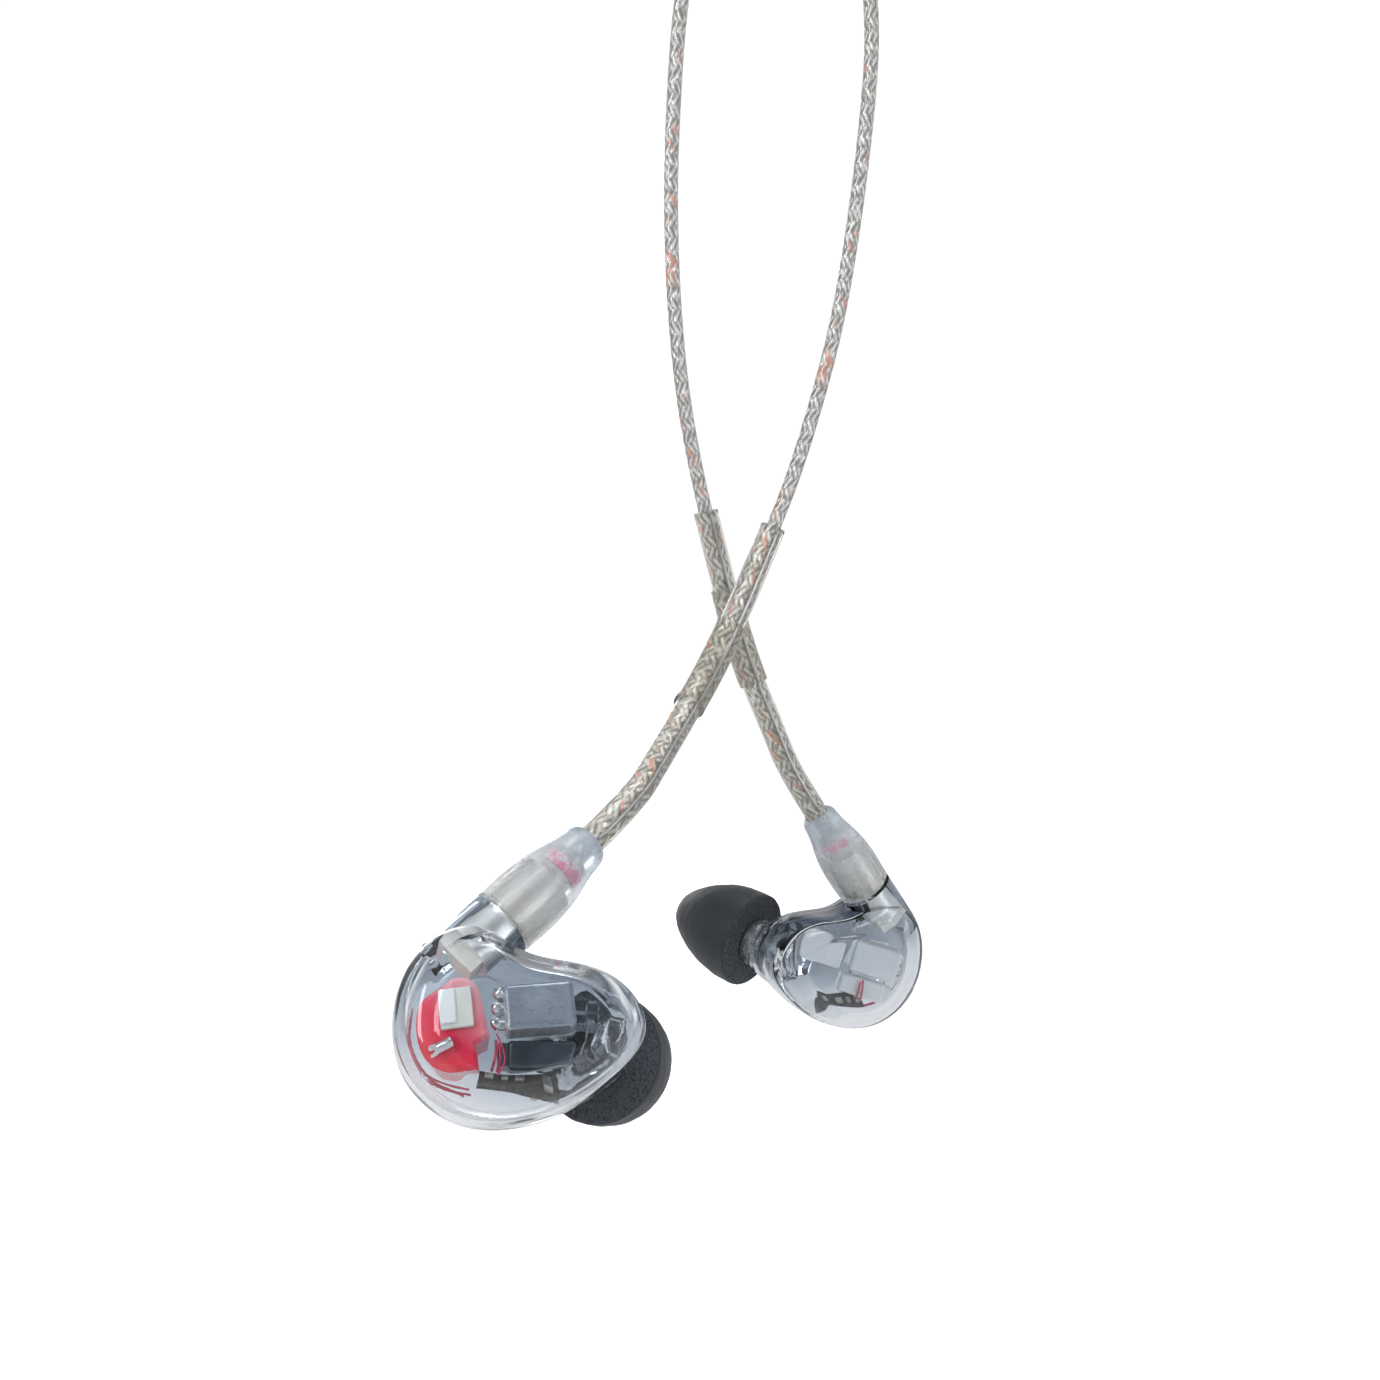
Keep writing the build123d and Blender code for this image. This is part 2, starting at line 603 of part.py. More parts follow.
def plug_frame(shape):
    """A shape about +Z from the pin's root, set on the hanging plug with the pin downwards."""
    return Pos(PLUG_X, 0, PLUG_TOP - PLUG_RELIEF - PLUG_BODY) * Rot(180, 0, 0) * shape


def plug_body():
    """The plug's grip, its flange and the tapered strain relief, as one moulding."""
    with BuildLine() as outline:
        Polyline((0, 0), (PLUG_BODY_R - 0.3, 0), (PLUG_BODY_R, -0.3), (PLUG_BODY_R, -PLUG_BODY + 1.2),
                 (PLUG_BODY_R - 1.0, -PLUG_BODY), (2.6, -PLUG_BODY - 0.1))
        Line((2.6, -PLUG_BODY - 0.1), (TRUNK_R + 0.35, -PLUG_BODY - PLUG_RELIEF))
        Polyline((TRUNK_R + 0.35, -PLUG_BODY - PLUG_RELIEF), (0, -PLUG_BODY - PLUG_RELIEF), (0, 0))
    return plug_frame(turned(outline.line))


def plug_contacts():
    """Sleeve, ring and tip contacts, split by insulating rings."""
    (first_low, first_high), (second_low, second_high) = PLUG_RINGS
    sleeve = rod(JACK_PLUG_R, 0, first_low)
    middle = rod(JACK_PLUG_R, first_high, second_low)
    with BuildLine() as outline:
        Polyline((0, second_high), (JACK_PLUG_R, second_high), (JACK_PLUG_R, 11.0), (1.2, 11.9),
                 (1.2, 12.2), (1.65, 12.9))
        Spline((1.65, 12.9), (1.2, 13.7), (0, JACK_PLUG_LENGTH), tangents=((-0.1, 1), (-1, 0)))
        Line((0, JACK_PLUG_LENGTH), (0, second_high))
    return plug_frame(Compound([sleeve, middle, turned(outline.line)]))


def plug_insulators():
    """The two insulating rings between the contacts."""
    return plug_frame(Compound([rod(JACK_PLUG_R, low, high) for low, high in PLUG_RINGS]))


# ---- all nodes ----
def build_side(side):
    cap, tub = shell_halves()
    in_seats = {
        "woofer": woofer(), "mid_driver": mid_driver(), "tweeter": tweeter(), "damper_pad": damper_pad(),
    }
    in_shell = {
        "faceplate": cap, "inner_shell": tub, "acoustic_housing": acoustic_housing(*HOUSING_SPAN[side]),
        "sound_duct": sound_duct(), "circuit_board": circuit_board(),
        "board_components": board_components(), "wires": wires(),
    }
    for name, shape in in_seats.items():
        in_shell[name] = seated(name, side, shape)
    on_nozzle = {
        "nozzle": nozzle(), "nozzle_screen": nozzle_screen(), "foam_tip": foam_tip(),
        "tip_core": tip_core(),
    }
    on_cable_axis = {
        "jack_body": jack_body(), "jack_block": jack_block(), "plug_shell": plug_shell(),
        "plug_pin": plug_pin(), "snap_ring": snap_ring(), "boot": boot(),
    }
    for name, shape in in_shell.items():
        write(place(shape, side), f"{side}_{name}")
    for name, shape in on_nozzle.items():
        write(place(TIP_PLANE.location * shape, side), f"{side}_{name}")
    for name, shape in on_cable_axis.items():
        write(place(NECK_PLANE.location * shape, side), f"{side}_{name}")
    sleeve, wire, collar = hook_parts(side)
    write(strand(side), f"{side}_strand")
    write(sleeve, f"{side}_hook_sleeve")
    write(wire, f"{side}_hook_wire")
    write(collar, f"{side}_hook_collar")


for side in ("left", "right"):
    build_side(side)
write(splitter(), "splitter")
write(slider(), "slider")
for name, points in (("trunk_lead", TRUNK_LEAD), ("plug_lead", PLUG_LEAD)):
    lead = tube(points, TRUNK_R)
    report(name, points, route_path(points), lead, TRUNK_R)
    write(lead, name)
wound = COIL_TURNS * 2 * math.pi * COIL_MID_R
print(f"coil: {COIL_TURNS} turns in {COIL_COLUMNS * COIL_LAYERS} places, {wound:.0f} mm of trunk")
print(f"each ear tip is off its nozzle after {TIP_RUN:.1f} mm")
write(coil(), "coil")
write(coil_tie(), "coil_tie")
write(plug_body(), "plug_body")
write(plug_contacts(), "plug_contacts")
write(plug_insulators(), "plug_insulators")
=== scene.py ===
"""In-ear monitors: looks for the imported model, in its own frame, in metres.

The CAD nodes keep their shapes and get procedural materials. The cable, its sleeves, the wound
trunk and the foam tips are made here as their own pieces.
"""
import json
import math

import bmesh
import bpy
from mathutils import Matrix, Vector, noise


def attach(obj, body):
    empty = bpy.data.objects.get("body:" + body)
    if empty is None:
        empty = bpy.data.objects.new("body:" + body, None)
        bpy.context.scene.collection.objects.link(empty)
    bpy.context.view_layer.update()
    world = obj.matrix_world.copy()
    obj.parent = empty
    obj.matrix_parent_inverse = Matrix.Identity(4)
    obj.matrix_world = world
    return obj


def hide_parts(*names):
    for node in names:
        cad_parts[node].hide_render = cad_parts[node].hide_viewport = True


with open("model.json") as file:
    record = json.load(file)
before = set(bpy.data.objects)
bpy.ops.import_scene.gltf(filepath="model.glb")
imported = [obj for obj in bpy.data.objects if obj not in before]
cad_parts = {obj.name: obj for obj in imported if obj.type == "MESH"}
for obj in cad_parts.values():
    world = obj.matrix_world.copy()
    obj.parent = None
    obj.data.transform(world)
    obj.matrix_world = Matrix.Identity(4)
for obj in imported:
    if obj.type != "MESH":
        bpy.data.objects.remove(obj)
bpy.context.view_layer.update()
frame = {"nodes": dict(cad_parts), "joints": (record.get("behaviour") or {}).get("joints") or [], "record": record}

MM = 0.001
SIDES = ("left", "right")

# ---- sizes shared with the CAD model, in millimetres ----
STRAND_R = 0.9
TRUNK_R = 1.25
SLEEVE_R = 1.55
SLEEVE_BORE_R = 0.94
COLLAR_SLEEVE_R = 1.85
HOOK_WIRE_R = 0.2
HOOK_WIRE_OFF = 1.22
HOOK_WIRE_INSET = 0.5  # the wire ends this far inside each end of its sleeve
HOOK_WIRE_ANGLE = 200.0  # where the wire lies round the strand
SLEEVE_FIT = 0.02
SLEEVE_LENGTHS = {"left": 51.5, "right": 42.0}
COLLAR_SLEEVE_STARTS = {"left": 26.0, "right": 19.5}
COLLAR_SLEEVE_LENGTH = 12.5
COIL_MID_R = 14.0
COIL_LAYERS = 3
COIL_COLUMNS = 4
COIL_START = -24.0  # angle of the first turn's first point, from +X towards +Z
COIL_END = 184.0  # angle of the last point in the last turn
COIL_SHIFT_AT = 130.0  # at this angle the cable steps over to its next place
COIL_SHIFT_TURN = 1 / 7  # share of a turn that the step takes
COIL_POINTS_PER_TURN = 20
TIP_R = 6.5
TIP_LENGTH = 12.0
TIP_BORE_R = 3.0
TIP_MOUTH_R = 2.1
TIP_SEGMENTS = 96
TIP_STEPS = 6  # rows between two points of the foam's outline
TIP_CUT_POINTS = 3  # this many of the outline's stretches are the cut back face
TIP_SHRINK = 0.06  # the foam stays this far inside its CAD solid, for its lumps
CORE_LENGTH = 9.5
BOOT_GAP = 0.35
BOOT_LENGTH = 12.4
DRIVER_GRAIN = (0.1, 1.0, 1.0)  # the cans are brushed along X
MARK_SPANS = {"left": (7.5, 8.9), "right": (7.3, 8.7)}  # along the boot, from the neck
MARK_R = 1.6
STRAND_START = 9.85
HOOK_START = BOOT_GAP + BOOT_LENGTH + 6.25

# ---- cable routes, the same points as the CAD tubes, in millimetres ----
PAIR_X = 3.4
PAIR_HALF = 1.5
SPLIT_BOTTOM = -48.0
ROUTES = {
    "left": [
        (-10.6, -16.0, -182.6), (-7.6, -8.0, -177.7), (-4.4, -3.0, -172.1), (-1.3, -1.0, -165.7),
        (2.1, 0.0, -157.6), (5.2, 0.2, -150.0), (8.1, 0.3, -140.8), (10.8, 0.3, -130.6),
        (12.9, 0.3, -117.9), (14.4, 0.2, -105.3), (15.0, 0.1, -96.0), (14.2, 0.0, -86.5),
        (PAIR_X + PAIR_HALF, 0.0, -74.0), (PAIR_X + PAIR_HALF, 0.0, SPLIT_BOTTOM),
    ],
    "right": [
        (3.6, 10.0, -180.1), (1.0, 9.3, -174.0), (-1.1, 8.2, -168.0), (-3.1, 6.6, -160.6),
        (-5.0, 4.6, -153.5), (-6.8, 3.0, -145.6), (-8.2, 2.0, -137.1), (-9.1, 1.6, -126.4),
        (-9.4, 1.3, -114.8), (-9.0, 1.0, -103.9), (-8.3, 0.6, -93.5), (-7.0, 0.3, -85.5),
        (PAIR_X - PAIR_HALF, 0.0, -74.0), (PAIR_X - PAIR_HALF, 0.0, SPLIT_BOTTOM),
    ],
}
STRAIGHT_PAIR_Z = -66.0  # one more point here keeps the pair straight under the slider
TRUNK_LEAD = [(PAIR_X, 0.0, -36.0), (PAIR_X, 0.0, -28.0), (8.6, 0.0, -18.0)]
PLUG_LEAD = [(-16.5, 0.0, -12.0), (-17.4, 0.0, -21.5), (-17.4, 0.0, -30.0)]

joints = {joint["name"]: joint for joint in frame["joints"]}

# ---- the shells' own frames, worked out from the joints as the CAD model does ----
FACE = Vector((0.17, -0.87, 0.46)).normalized()  # the left faceplate looks this way
NECK_POINT = (-2.6, 8.9, 0.4)  # the neck in the left shell's own frame, in millimetres
SHELL_HALF_LENGTH = 11.5
SHELL_HALF_WIDTH = 9.0


def hang(side):
    """Where a side's neck is, in millimetres, and the directions of its cable and its nozzle."""
    swivel = joints[f"{side}_swivel"]
    nozzle = joints[f"{side}_tip_pull"]
    return Vector(swivel["pos_m"]) / MM, Vector(swivel["axis"]), Vector(nozzle["axis"])


def triad(first, second):
    """Three directions at right angles: along first, towards second, and across both."""
    across = first.cross(second).normalized()
    return first, across.cross(first), across


def shell_frame(side):
    """Origin in millimetres and the three directions of a shell; the right one is mirrored in X."""
    neck, cable, nozzle = hang("left")
    along = (Vector((1, 0, 0)) - FACE * FACE.x).normalized()
    axes = [along, FACE.cross(along), FACE]
    corner = Vector(NECK_POINT)
    if side == "right":
        corner.x = -corner.x
        own = [Vector((-line.dot(axes[0]), line.dot(axes[1]), line.dot(axes[2])))
               for line in (cable, nozzle)]
        neck, cable, nozzle = hang("right")
        pairs = list(zip(triad(*own), triad(cable, nozzle)))
        axes = [sum((outer * inner[index] for inner, outer in pairs), Vector()) for index in range(3)]
    origin = neck - sum((axis * value for axis, value in zip(axes, corner)), Vector())
    return origin, *axes


SHELL_FRAMES = {side: shell_frame(side) for side in SIDES}


# ---- camera ----
CAMERA_POINT = (-0.007, -0.160, -0.175)
CAMERA_LENS = 34.75
CAMERA_SENSOR = 36.0


def make_camera():
    data = bpy.data.cameras.new("photo_camera")
    data.lens = CAMERA_LENS
    data.sensor_width = CAMERA_SENSOR
    data.clip_start = 0.005
    camera = bpy.data.objects.new("photo_camera", data)
    camera.location = CAMERA_POINT
    camera.rotation_euler = (math.radians(90), 0, 0)
    bpy.context.scene.collection.objects.link(camera)
    bpy.context.scene.camera = camera


make_camera()


# ---- shapes ----
def link_mesh(name, mesh, *materials):
    obj = bpy.data.objects.new(name, mesh)
    bpy.context.scene.collection.objects.link(obj)
    for material in materials:
        mesh.materials.append(material)
    return obj


def mesh_object(name, vertices, faces, smooth=True):
    mesh = bpy.data.meshes.new(name)
    mesh.from_pydata([tuple(v) for v in vertices], [], faces)
    mesh.update()
    for polygon in mesh.polygons:
        polygon.use_smooth = smooth
    return link_mesh(name, mesh)


def spline_points(name, control):
    """Points in metres along the smooth NURBS line of control points given in millimetres."""
    curve = bpy.data.curves.new(name, "CURVE")
    curve.dimensions = "3D"
    curve.resolution_u = 10
    line = curve.splines.new("NURBS")
    line.points.add(len(control) - 1)
    for point, position in zip(line.points, control):
        point.co = (*(value * MM for value in position), 1.0)
    line.order_u = 3
    line.use_endpoint_u = True
    holder = bpy.data.objects.new(name, curve)
    bpy.context.scene.collection.objects.link(holder)
    bpy.context.view_layer.update()
    mesh = bpy.data.meshes.new_from_object(holder)
    points = [vertex.co.copy() for vertex in mesh.vertices]
    bpy.data.meshes.remove(mesh)
    bpy.data.objects.remove(holder)
    bpy.data.curves.remove(curve)
    return points


def lengths_along(points):
    total = 0.0
    lengths = [0.0]
    for first, second in zip(points, points[1:]):
        total += (second - first).length
        lengths.append(total)
    return lengths


def stretch(points, low, high):
    """The part of a line between two lengths from its start, in millimetres."""
    lengths = lengths_along(points)
    low *= MM
    high *= MM
    cut = [point_at(points, lengths, low)]
    cut += [p for p, length in zip(points, lengths) if low + 1e-5 < length < high - 1e-5]
    cut.append(point_at(points, lengths, high))
    return cut


def point_at(points, lengths, where):
    for index in range(len(points) - 1):
        if lengths[index + 1] >= where:
            span = lengths[index + 1] - lengths[index]
            return points[index].lerp(points[index + 1], (where - lengths[index]) / span)
    return points[-1].copy()


def frames_along(points):
    """For each point its two cross directions, carried along without twist."""
    tangents = []
    for index in range(len(points)):
        before = points[max(index - 1, 0)]
        after = points[min(index + 1, len(points) - 1)]
        tangents.append((after - before).normalized())
    across = Vector((0, 1, 0)) - tangents[0] * tangents[0].y
    if across.length < 0.2:
        across = Vector((1, 0, 0)) - tangents[0] * tangents[0].x
    across.normalize()
    result = []
    for tangent in tangents:
        across = (across - tangent * across.dot(tangent)).normalized()
        result.append((across.copy(), tangent.cross(across)))
    return result


def tube_rings(points, frames, radius, segments, offset=0.0, angle=0.0):
    rings = []
    for index, (point, (one, two)) in enumerate(zip(points, frames)):
        size = radius(index) if callable(radius) else radius
        centre = point + (one * math.cos(angle) + two * math.sin(angle)) * offset
        rings.append([
            centre + (one * math.cos(turn) + two * math.sin(turn)) * size
            for turn in (2 * math.pi * k / segments for k in range(segments))
        ])
    return rings


def tube_piece(name, points, radius, segments=20, bore=None, offset=0.0, angle=0.0):
    """A tube in metres along the points, with a UV map of turns around and metres along."""
    frames = frames_along(points)
    lengths = lengths_along(points)
    radius = radius if callable(radius) else radius * MM
    layers = [tube_rings(points, frames, radius, segments, offset * MM, angle)]
    if bore is not None:
        layers.append(tube_rings(points, frames, bore * MM, segments, offset * MM, angle))
    form = bmesh.new()
    uv = form.loops.layers.uv.new("along")
    vertex_layers = [[[form.verts.new(p) for p in ring] for ring in rings] for rings in layers]
    for depth, rows in enumerate(vertex_layers):
        for row in range(len(points) - 1):
            for k in range(segments):
                after = (k + 1) % segments
                corners = [rows[row][k], rows[row][after], rows[row + 1][after], rows[row + 1][k]]
                marks = [(k, row), (k + 1, row), (k + 1, row + 1), (k, row + 1)]
                if depth == 1:
                    corners.reverse()
                    marks.reverse()
                face = form.faces.new(corners)
                face.smooth = True
                face.material_index = depth
                for loop, (turn, at) in zip(face.loops, marks):
                    loop[uv].uv = (turn / segments, lengths[at])
    for row, flip in ((0, True), (len(points) - 1, False)):
        outer = vertex_layers[0][row]
        if bore is None:
            form.faces.new(list(reversed(outer)) if flip else outer)
            continue
        inner = vertex_layers[1][row]
        for k in range(segments):
            after = (k + 1) % segments
            corners = [outer[k], outer[after], inner[after], inner[k]]
            form.faces.new(list(reversed(corners)) if flip else corners)
    mesh = bpy.data.meshes.new(name)
    form.to_mesh(mesh)
    form.free()
    return link_mesh(name, mesh)


# ---- materials ----
class Surface:
    """A material's node tree, with short calls for the nodes that this scene needs."""

    def __init__(self, name, colour=(0.8, 0.8, 0.8), **settings):
        self.material = bpy.data.materials.new(name)
        self.material.use_nodes = True
        self.tree = self.material.node_tree
        self.shader = self.tree.nodes["Principled BSDF"]
        self.output = self.tree.nodes["Material Output"]
        self.shader.inputs["Base Color"].default_value = (*colour, 1.0)
        for socket, value in settings.items():
            self.shader.inputs[socket.replace("_", " ")].default_value = value

    def add(self, kind, **settings):
        node = self.tree.nodes.new(kind)
        for name, value in settings.items():
            setattr(node, name, value)
        return node

    def link(self, source, target):
        self.tree.links.new(source, target)

    def into(self, source, name):
        self.link(source, self.shader.inputs[name])

    def feed(self, node, index, value):
        if isinstance(value, bpy.types.NodeSocket):
            self.link(value, node.inputs[index])
        else:
            node.inputs[index].default_value = value

    def maths(self, operation, first, second=0.0, third=0.0, clamp=False):
        node = self.add("ShaderNodeMath", operation=operation, use_clamp=clamp)
        for index, value in enumerate((first, second, third)):
            self.feed(node, index, value)
        return node.outputs[0]

    def place(self):
        return self.add("ShaderNodeTexCoord").outputs["Object"]

    def mapped(self, vector, scale=(1, 1, 1), rotation=(0, 0, 0)):
        node = self.add("ShaderNodeMapping")
        self.link(vector, node.inputs["Vector"])
        node.inputs["Scale"].default_value = scale
        node.inputs["Rotation"].default_value = rotation
        return node.outputs[0]

    def noise(self, vector, scale, detail=3.0, roughness=0.55, distortion=0.0):
        node = self.add("ShaderNodeTexNoise")
        self.link(vector, node.inputs["Vector"])
        node.inputs["Scale"].default_value = scale
        node.inputs["Detail"].default_value = detail
        node.inputs["Roughness"].default_value = roughness
        node.inputs["Distortion"].default_value = distortion
        return node.outputs["Fac"]

    def cells(self, vector, scale):
        node = self.add("ShaderNodeTexVoronoi")
        self.link(vector, node.inputs["Vector"])
        node.inputs["Scale"].default_value = scale
        return node.outputs["Distance"]

    def ramp(self, factor, *stops):
        """Colours by factor: stops of (position, colour or grey)."""
        node = self.add("ShaderNodeValToRGB")
        self.link(factor, node.inputs["Fac"])
        elements = node.color_ramp.elements
        while len(elements) < len(stops):
            elements.new(0.5)
        for element, (position, colour) in zip(elements, stops):
            element.position = position
            element.color = (*colour, 1) if isinstance(colour, tuple) else (colour, colour, colour, 1)
        return node.outputs["Color"]

    def mix(self, factor, first, second):
        node = self.add("ShaderNodeMix", data_type="RGBA")
        for index, value in ((0, factor), (6, first), (7, second)):
            socket = node.inputs[index]
            if isinstance(value, bpy.types.NodeSocket):
                self.link(value, socket)
            elif isinstance(value, tuple):
                socket.default_value = (*value, 1.0)
            else:
                socket.default_value = value
        return node.outputs[2]

    def span(self, value, low, high):
        """A 0 to 1 value carried to between low and high."""
        return self.maths("MULTIPLY_ADD", value, high - low, low)

    def bump(self, height, depth, strength=0.5):
        node = self.add("ShaderNodeBump")
        node.inputs["Distance"].default_value = depth
        node.inputs["Strength"].default_value = strength
        self.link(height, node.inputs["Height"])
        self.into(node.outputs[0], "Normal")

    def lets_lamps_through(self, tint=(1, 1, 1)):
        """Lamps light what is inside the clear piece, as they do through thin plastic."""
        path = self.add("ShaderNodeLightPath")
        passing = self.add("ShaderNodeBsdfTransparent")
        passing.inputs["Color"].default_value = (*tint, 1)
        mixer = self.add("ShaderNodeMixShader")
        self.link(path.outputs["Is Shadow Ray"], mixer.inputs[0])
        self.link(self.shader.outputs[0], mixer.inputs[1])
        self.link(passing.outputs[0], mixer.inputs[2])
        self.link(mixer.outputs[0], self.output.inputs["Surface"])
        return self


def shell_coordinate(s, place, side, index):
    """One coordinate of a shell's own frame, in millimetres, as a shader value."""
    origin = SHELL_FRAMES[side][0]
    direction = SHELL_FRAMES[side][index + 1]
    dot = s.add("ShaderNodeVectorMath", operation="DOT_PRODUCT")
    s.link(place, dot.inputs[0])
    dot.inputs[1].default_value = direction / MM
    sign = -1.0 if side == "right" and index == 0 else 1.0
    return s.maths("MULTIPLY_ADD", dot.outputs["Value"], sign, -sign * origin.dot(direction))


def shell_plastic(name, side, painted_shade_tint, middle, rim):
    """Clear shell plastic with painted shade: darker deep in the body and towards the top, pale along the lower
    rim.
    """
    s = Surface(name, middle, Transmission_Weight=1.0, IOR=1.5)
    place = s.place()
    across = s.maths("MULTIPLY", shell_coordinate(s, place, side, 0), 1 / SHELL_HALF_LENGTH)
    up = s.maths("MULTIPLY", shell_coordinate(s, place, side, 1), 1 / SHELL_HALF_WIDTH)
    squares = s.maths("ADD", s.maths("MULTIPLY", across, across), s.maths("MULTIPLY", up, up))
    outward = s.maths("SQRT", squares)
    share = s.maths("MULTIPLY_ADD", up, -0.3, s.maths("MULTIPLY", outward, 0.7))
    # painted shade: the colour darkens from the pale lower rim towards the middle and top of the body
    s.into(s.ramp(share, (0.3, painted_shade_tint), (0.66, middle), (0.92, rim)), "Base Color")
    s.into(s.span(s.noise(place, 260.0, 4.0), 0.006, 0.024), "Roughness")
    s.bump(s.noise(place, 150.0, 1.0, 0.3, 0.5), 0.0005, 0.5)
    return s.lets_lamps_through((0.97, 0.98, 0.99)).material


def clear_plastic(name, tint, roughness, ior, wave_scale, wave_depth):
    """Clear moulded plastic with faint flow waves and finger-wiped roughness."""
    s = Surface(name, tint, Transmission_Weight=1.0, IOR=ior)
    place = s.place()
    smudge = s.noise(place, 260.0, 4.0)
    s.into(s.span(smudge, roughness * 0.4, roughness * 1.6), "Roughness")
    flow = s.noise(place, wave_scale, 2.0, 0.4, 0.8)
    s.bump(flow, wave_depth, 0.6)
    return s.lets_lamps_through((0.97, 0.98, 0.99)).material


def brushed_metal(name, dark, light, roughness, grain=(1, 1, 1), scale=3800.0, lines_share=0.4,
                  painted_highlight_toward=None, metallic=1.0):
    """Metal with drawn grain and blotchy tarnish, and a painted highlight where it faces one direction."""
    s = Surface(name, light, Metallic=metallic)
    place = s.place()
    lines = s.noise(s.mapped(place, grain), scale, 3.0, 0.6)
    blotch = s.noise(place, 260.0, 3.0, 0.5)
    both = s.maths("MULTIPLY_ADD", lines, lines_share, s.maths("MULTIPLY", blotch, 1 - lines_share))
    tone = s.ramp(both, (0.3, dark), (0.72, light))
    if painted_highlight_toward is not None:
        # painted highlight: the colour goes near white where the surface faces this direction
        facing = s.add("ShaderNodeVectorMath", operation="DOT_PRODUCT")
        s.link(s.add("ShaderNodeNewGeometry").outputs["Normal"], facing.inputs[0])
        facing.inputs[1].default_value = painted_highlight_toward
        tone = s.mix(s.ramp(facing.outputs["Value"], (0.25, 0.0), (0.7, 0.9)), tone, (0.93, 0.93, 0.92))
    s.into(tone, "Base Color")
    s.into(s.span(lines, roughness * 0.75, roughness * 1.35), "Roughness")
    s.bump(lines, 0.000008, 0.5 * lines_share)
    return s.material


def braid(name, strands_around, pitch):
    """Silver and beige braid of two crossing helices under a clear jacket, with copper flecks and painted shade
    down each strand into the gaps.
    """
    s = Surface(name, Coat_Weight=1.0, Coat_Roughness=0.06, Coat_IOR=1.5)
    uv = s.add("ShaderNodeUVMap", uv_map="along").outputs[0]
    parts = s.add("ShaderNodeSeparateXYZ")
    s.link(uv, parts.inputs[0])
    around = s.maths("MULTIPLY", parts.outputs["X"], strands_around)
    along = s.maths("MULTIPLY", parts.outputs["Y"], strands_around / pitch)
    rising = s.maths("ADD", along, around)
    falling = s.maths("SUBTRACT", along, around)
    turn = s.maths("ADD", s.maths("FLOOR", rising), s.maths("FLOOR", falling))
    over = s.maths("GREATER_THAN", s.maths("FLOORED_MODULO", turn, 4.0), 1.5)
    crown_one = s.maths("PINGPONG", rising, 0.5)
    crown_two = s.maths("PINGPONG", falling, 0.5)
    difference = s.maths("SUBTRACT", crown_two, crown_one)
    crown = s.maths("MULTIPLY_ADD", over, difference, crown_one)
    height = s.maths("MULTIPLY", crown, 2.0, clamp=True)
    fine = s.noise(s.mapped(uv, (26.0, 2600.0, 1.0)), 1.0, 3.0, 0.6)
    # painted shade: each strand goes from bright on its crown to dark in the gaps between strands
    tone = s.ramp(height, (0.0, (0.16, 0.15, 0.14)), (0.35, (0.47, 0.45, 0.41)),
                  (0.9, (0.83, 0.81, 0.76)))
    fleck = s.noise(s.mapped(uv, (7.0, 950.0, 1.0)), 1.0, 2.0, 0.6)
    tone = s.mix(s.ramp(fleck, (0.38, 0.55), (0.5, 0.0)), tone, (0.2, 0.2, 0.2))
    tone = s.mix(s.ramp(fleck, (0.56, 0.0), (0.66, 0.75)), tone, (0.94, 0.93, 0.9))
    helix = s.add("ShaderNodeCombineXYZ")
    s.link(rising, helix.inputs[0])
    s.link(s.maths("MULTIPLY", falling, 0.22), helix.inputs[1])
    copper = s.noise(helix.outputs[0], 0.9, 1.0, 0.4)
    tone = s.mix(s.ramp(copper, (0.64, 0.0), (0.69, 0.85)), tone, (0.72, 0.33, 0.24))
    s.into(tone, "Base Color")
    s.into(s.span(fine, 0.25, 0.5), "Roughness")
    s.into(s.ramp(height, (0.1, 0.1), (0.8, 0.6)), "Metallic")
    relief = s.maths("MULTIPLY_ADD", fine, 0.25, height)
    s.bump(relief, 0.00012, 0.7)
    return s.material


def wetted(name):
    """The bore of a sleeve that sits tight on the braid, with no air between them."""
    s = Surface(name, (1.0, 1.0, 1.0), Transmission_Weight=1.0, IOR=1.0, Roughness=0.0)
    return s.lets_lamps_through().material


def soft_clear(name, tint, roughness):
    """The soft clear sleeve of the ear hook."""
    s = Surface(name, tint, Transmission_Weight=1.0, IOR=1.5)
    place = s.place()
    s.into(s.span(s.noise(place, 500.0, 3.0), roughness * 0.6, roughness * 1.5), "Roughness")
    s.bump(s.noise(place, 350.0, 2.0), 0.00006, 0.4)
    return s.lets_lamps_through((0.95, 0.95, 0.94)).material


def frosted(name, side):
    """Frosted translucent moulding: clearer round the barrel, less clear towards the cable, where painted shade
    darkens it to blue-grey.
    """
    s = Surface(name, (0.9, 0.92, 0.94), IOR=1.36)
    place = s.place()
    neck = Vector(joints[f"{side}_swivel"]["pos_m"])
    axis = Vector(joints[f"{side}_swivel"]["axis"])
    dot = s.add("ShaderNodeVectorMath", operation="DOT_PRODUCT")
    s.link(place, dot.inputs[0])
    dot.inputs[1].default_value = axis / (BOOT_LENGTH * MM)
    along = s.maths("SUBTRACT", dot.outputs["Value"], neck.dot(axis) / (BOOT_LENGTH * MM))
    cloud = s.noise(place, 330.0, 4.0, 0.6)
    share = s.maths("ADD", along, s.maths("MULTIPLY_ADD", cloud, 0.5, -0.25))
    # painted shade: the colour goes from white at the barrel to blue-grey towards the cable
    s.into(s.ramp(share, (0.2, (0.93, 0.94, 0.94)), (0.6, (0.84, 0.87, 0.9)), (0.95, (0.68, 0.74, 0.8))),
           "Base Color")
    s.into(s.ramp(share, (0.1, 0.95), (0.5, 0.8), (0.9, 0.62)), "Transmission Weight")
    s.into(s.span(cloud, 0.08, 0.42), "Roughness")
    s.bump(s.noise(place, 2600.0, 2.0), 0.00003, 0.35)
    return s.lets_lamps_through((0.85, 0.86, 0.88)).material


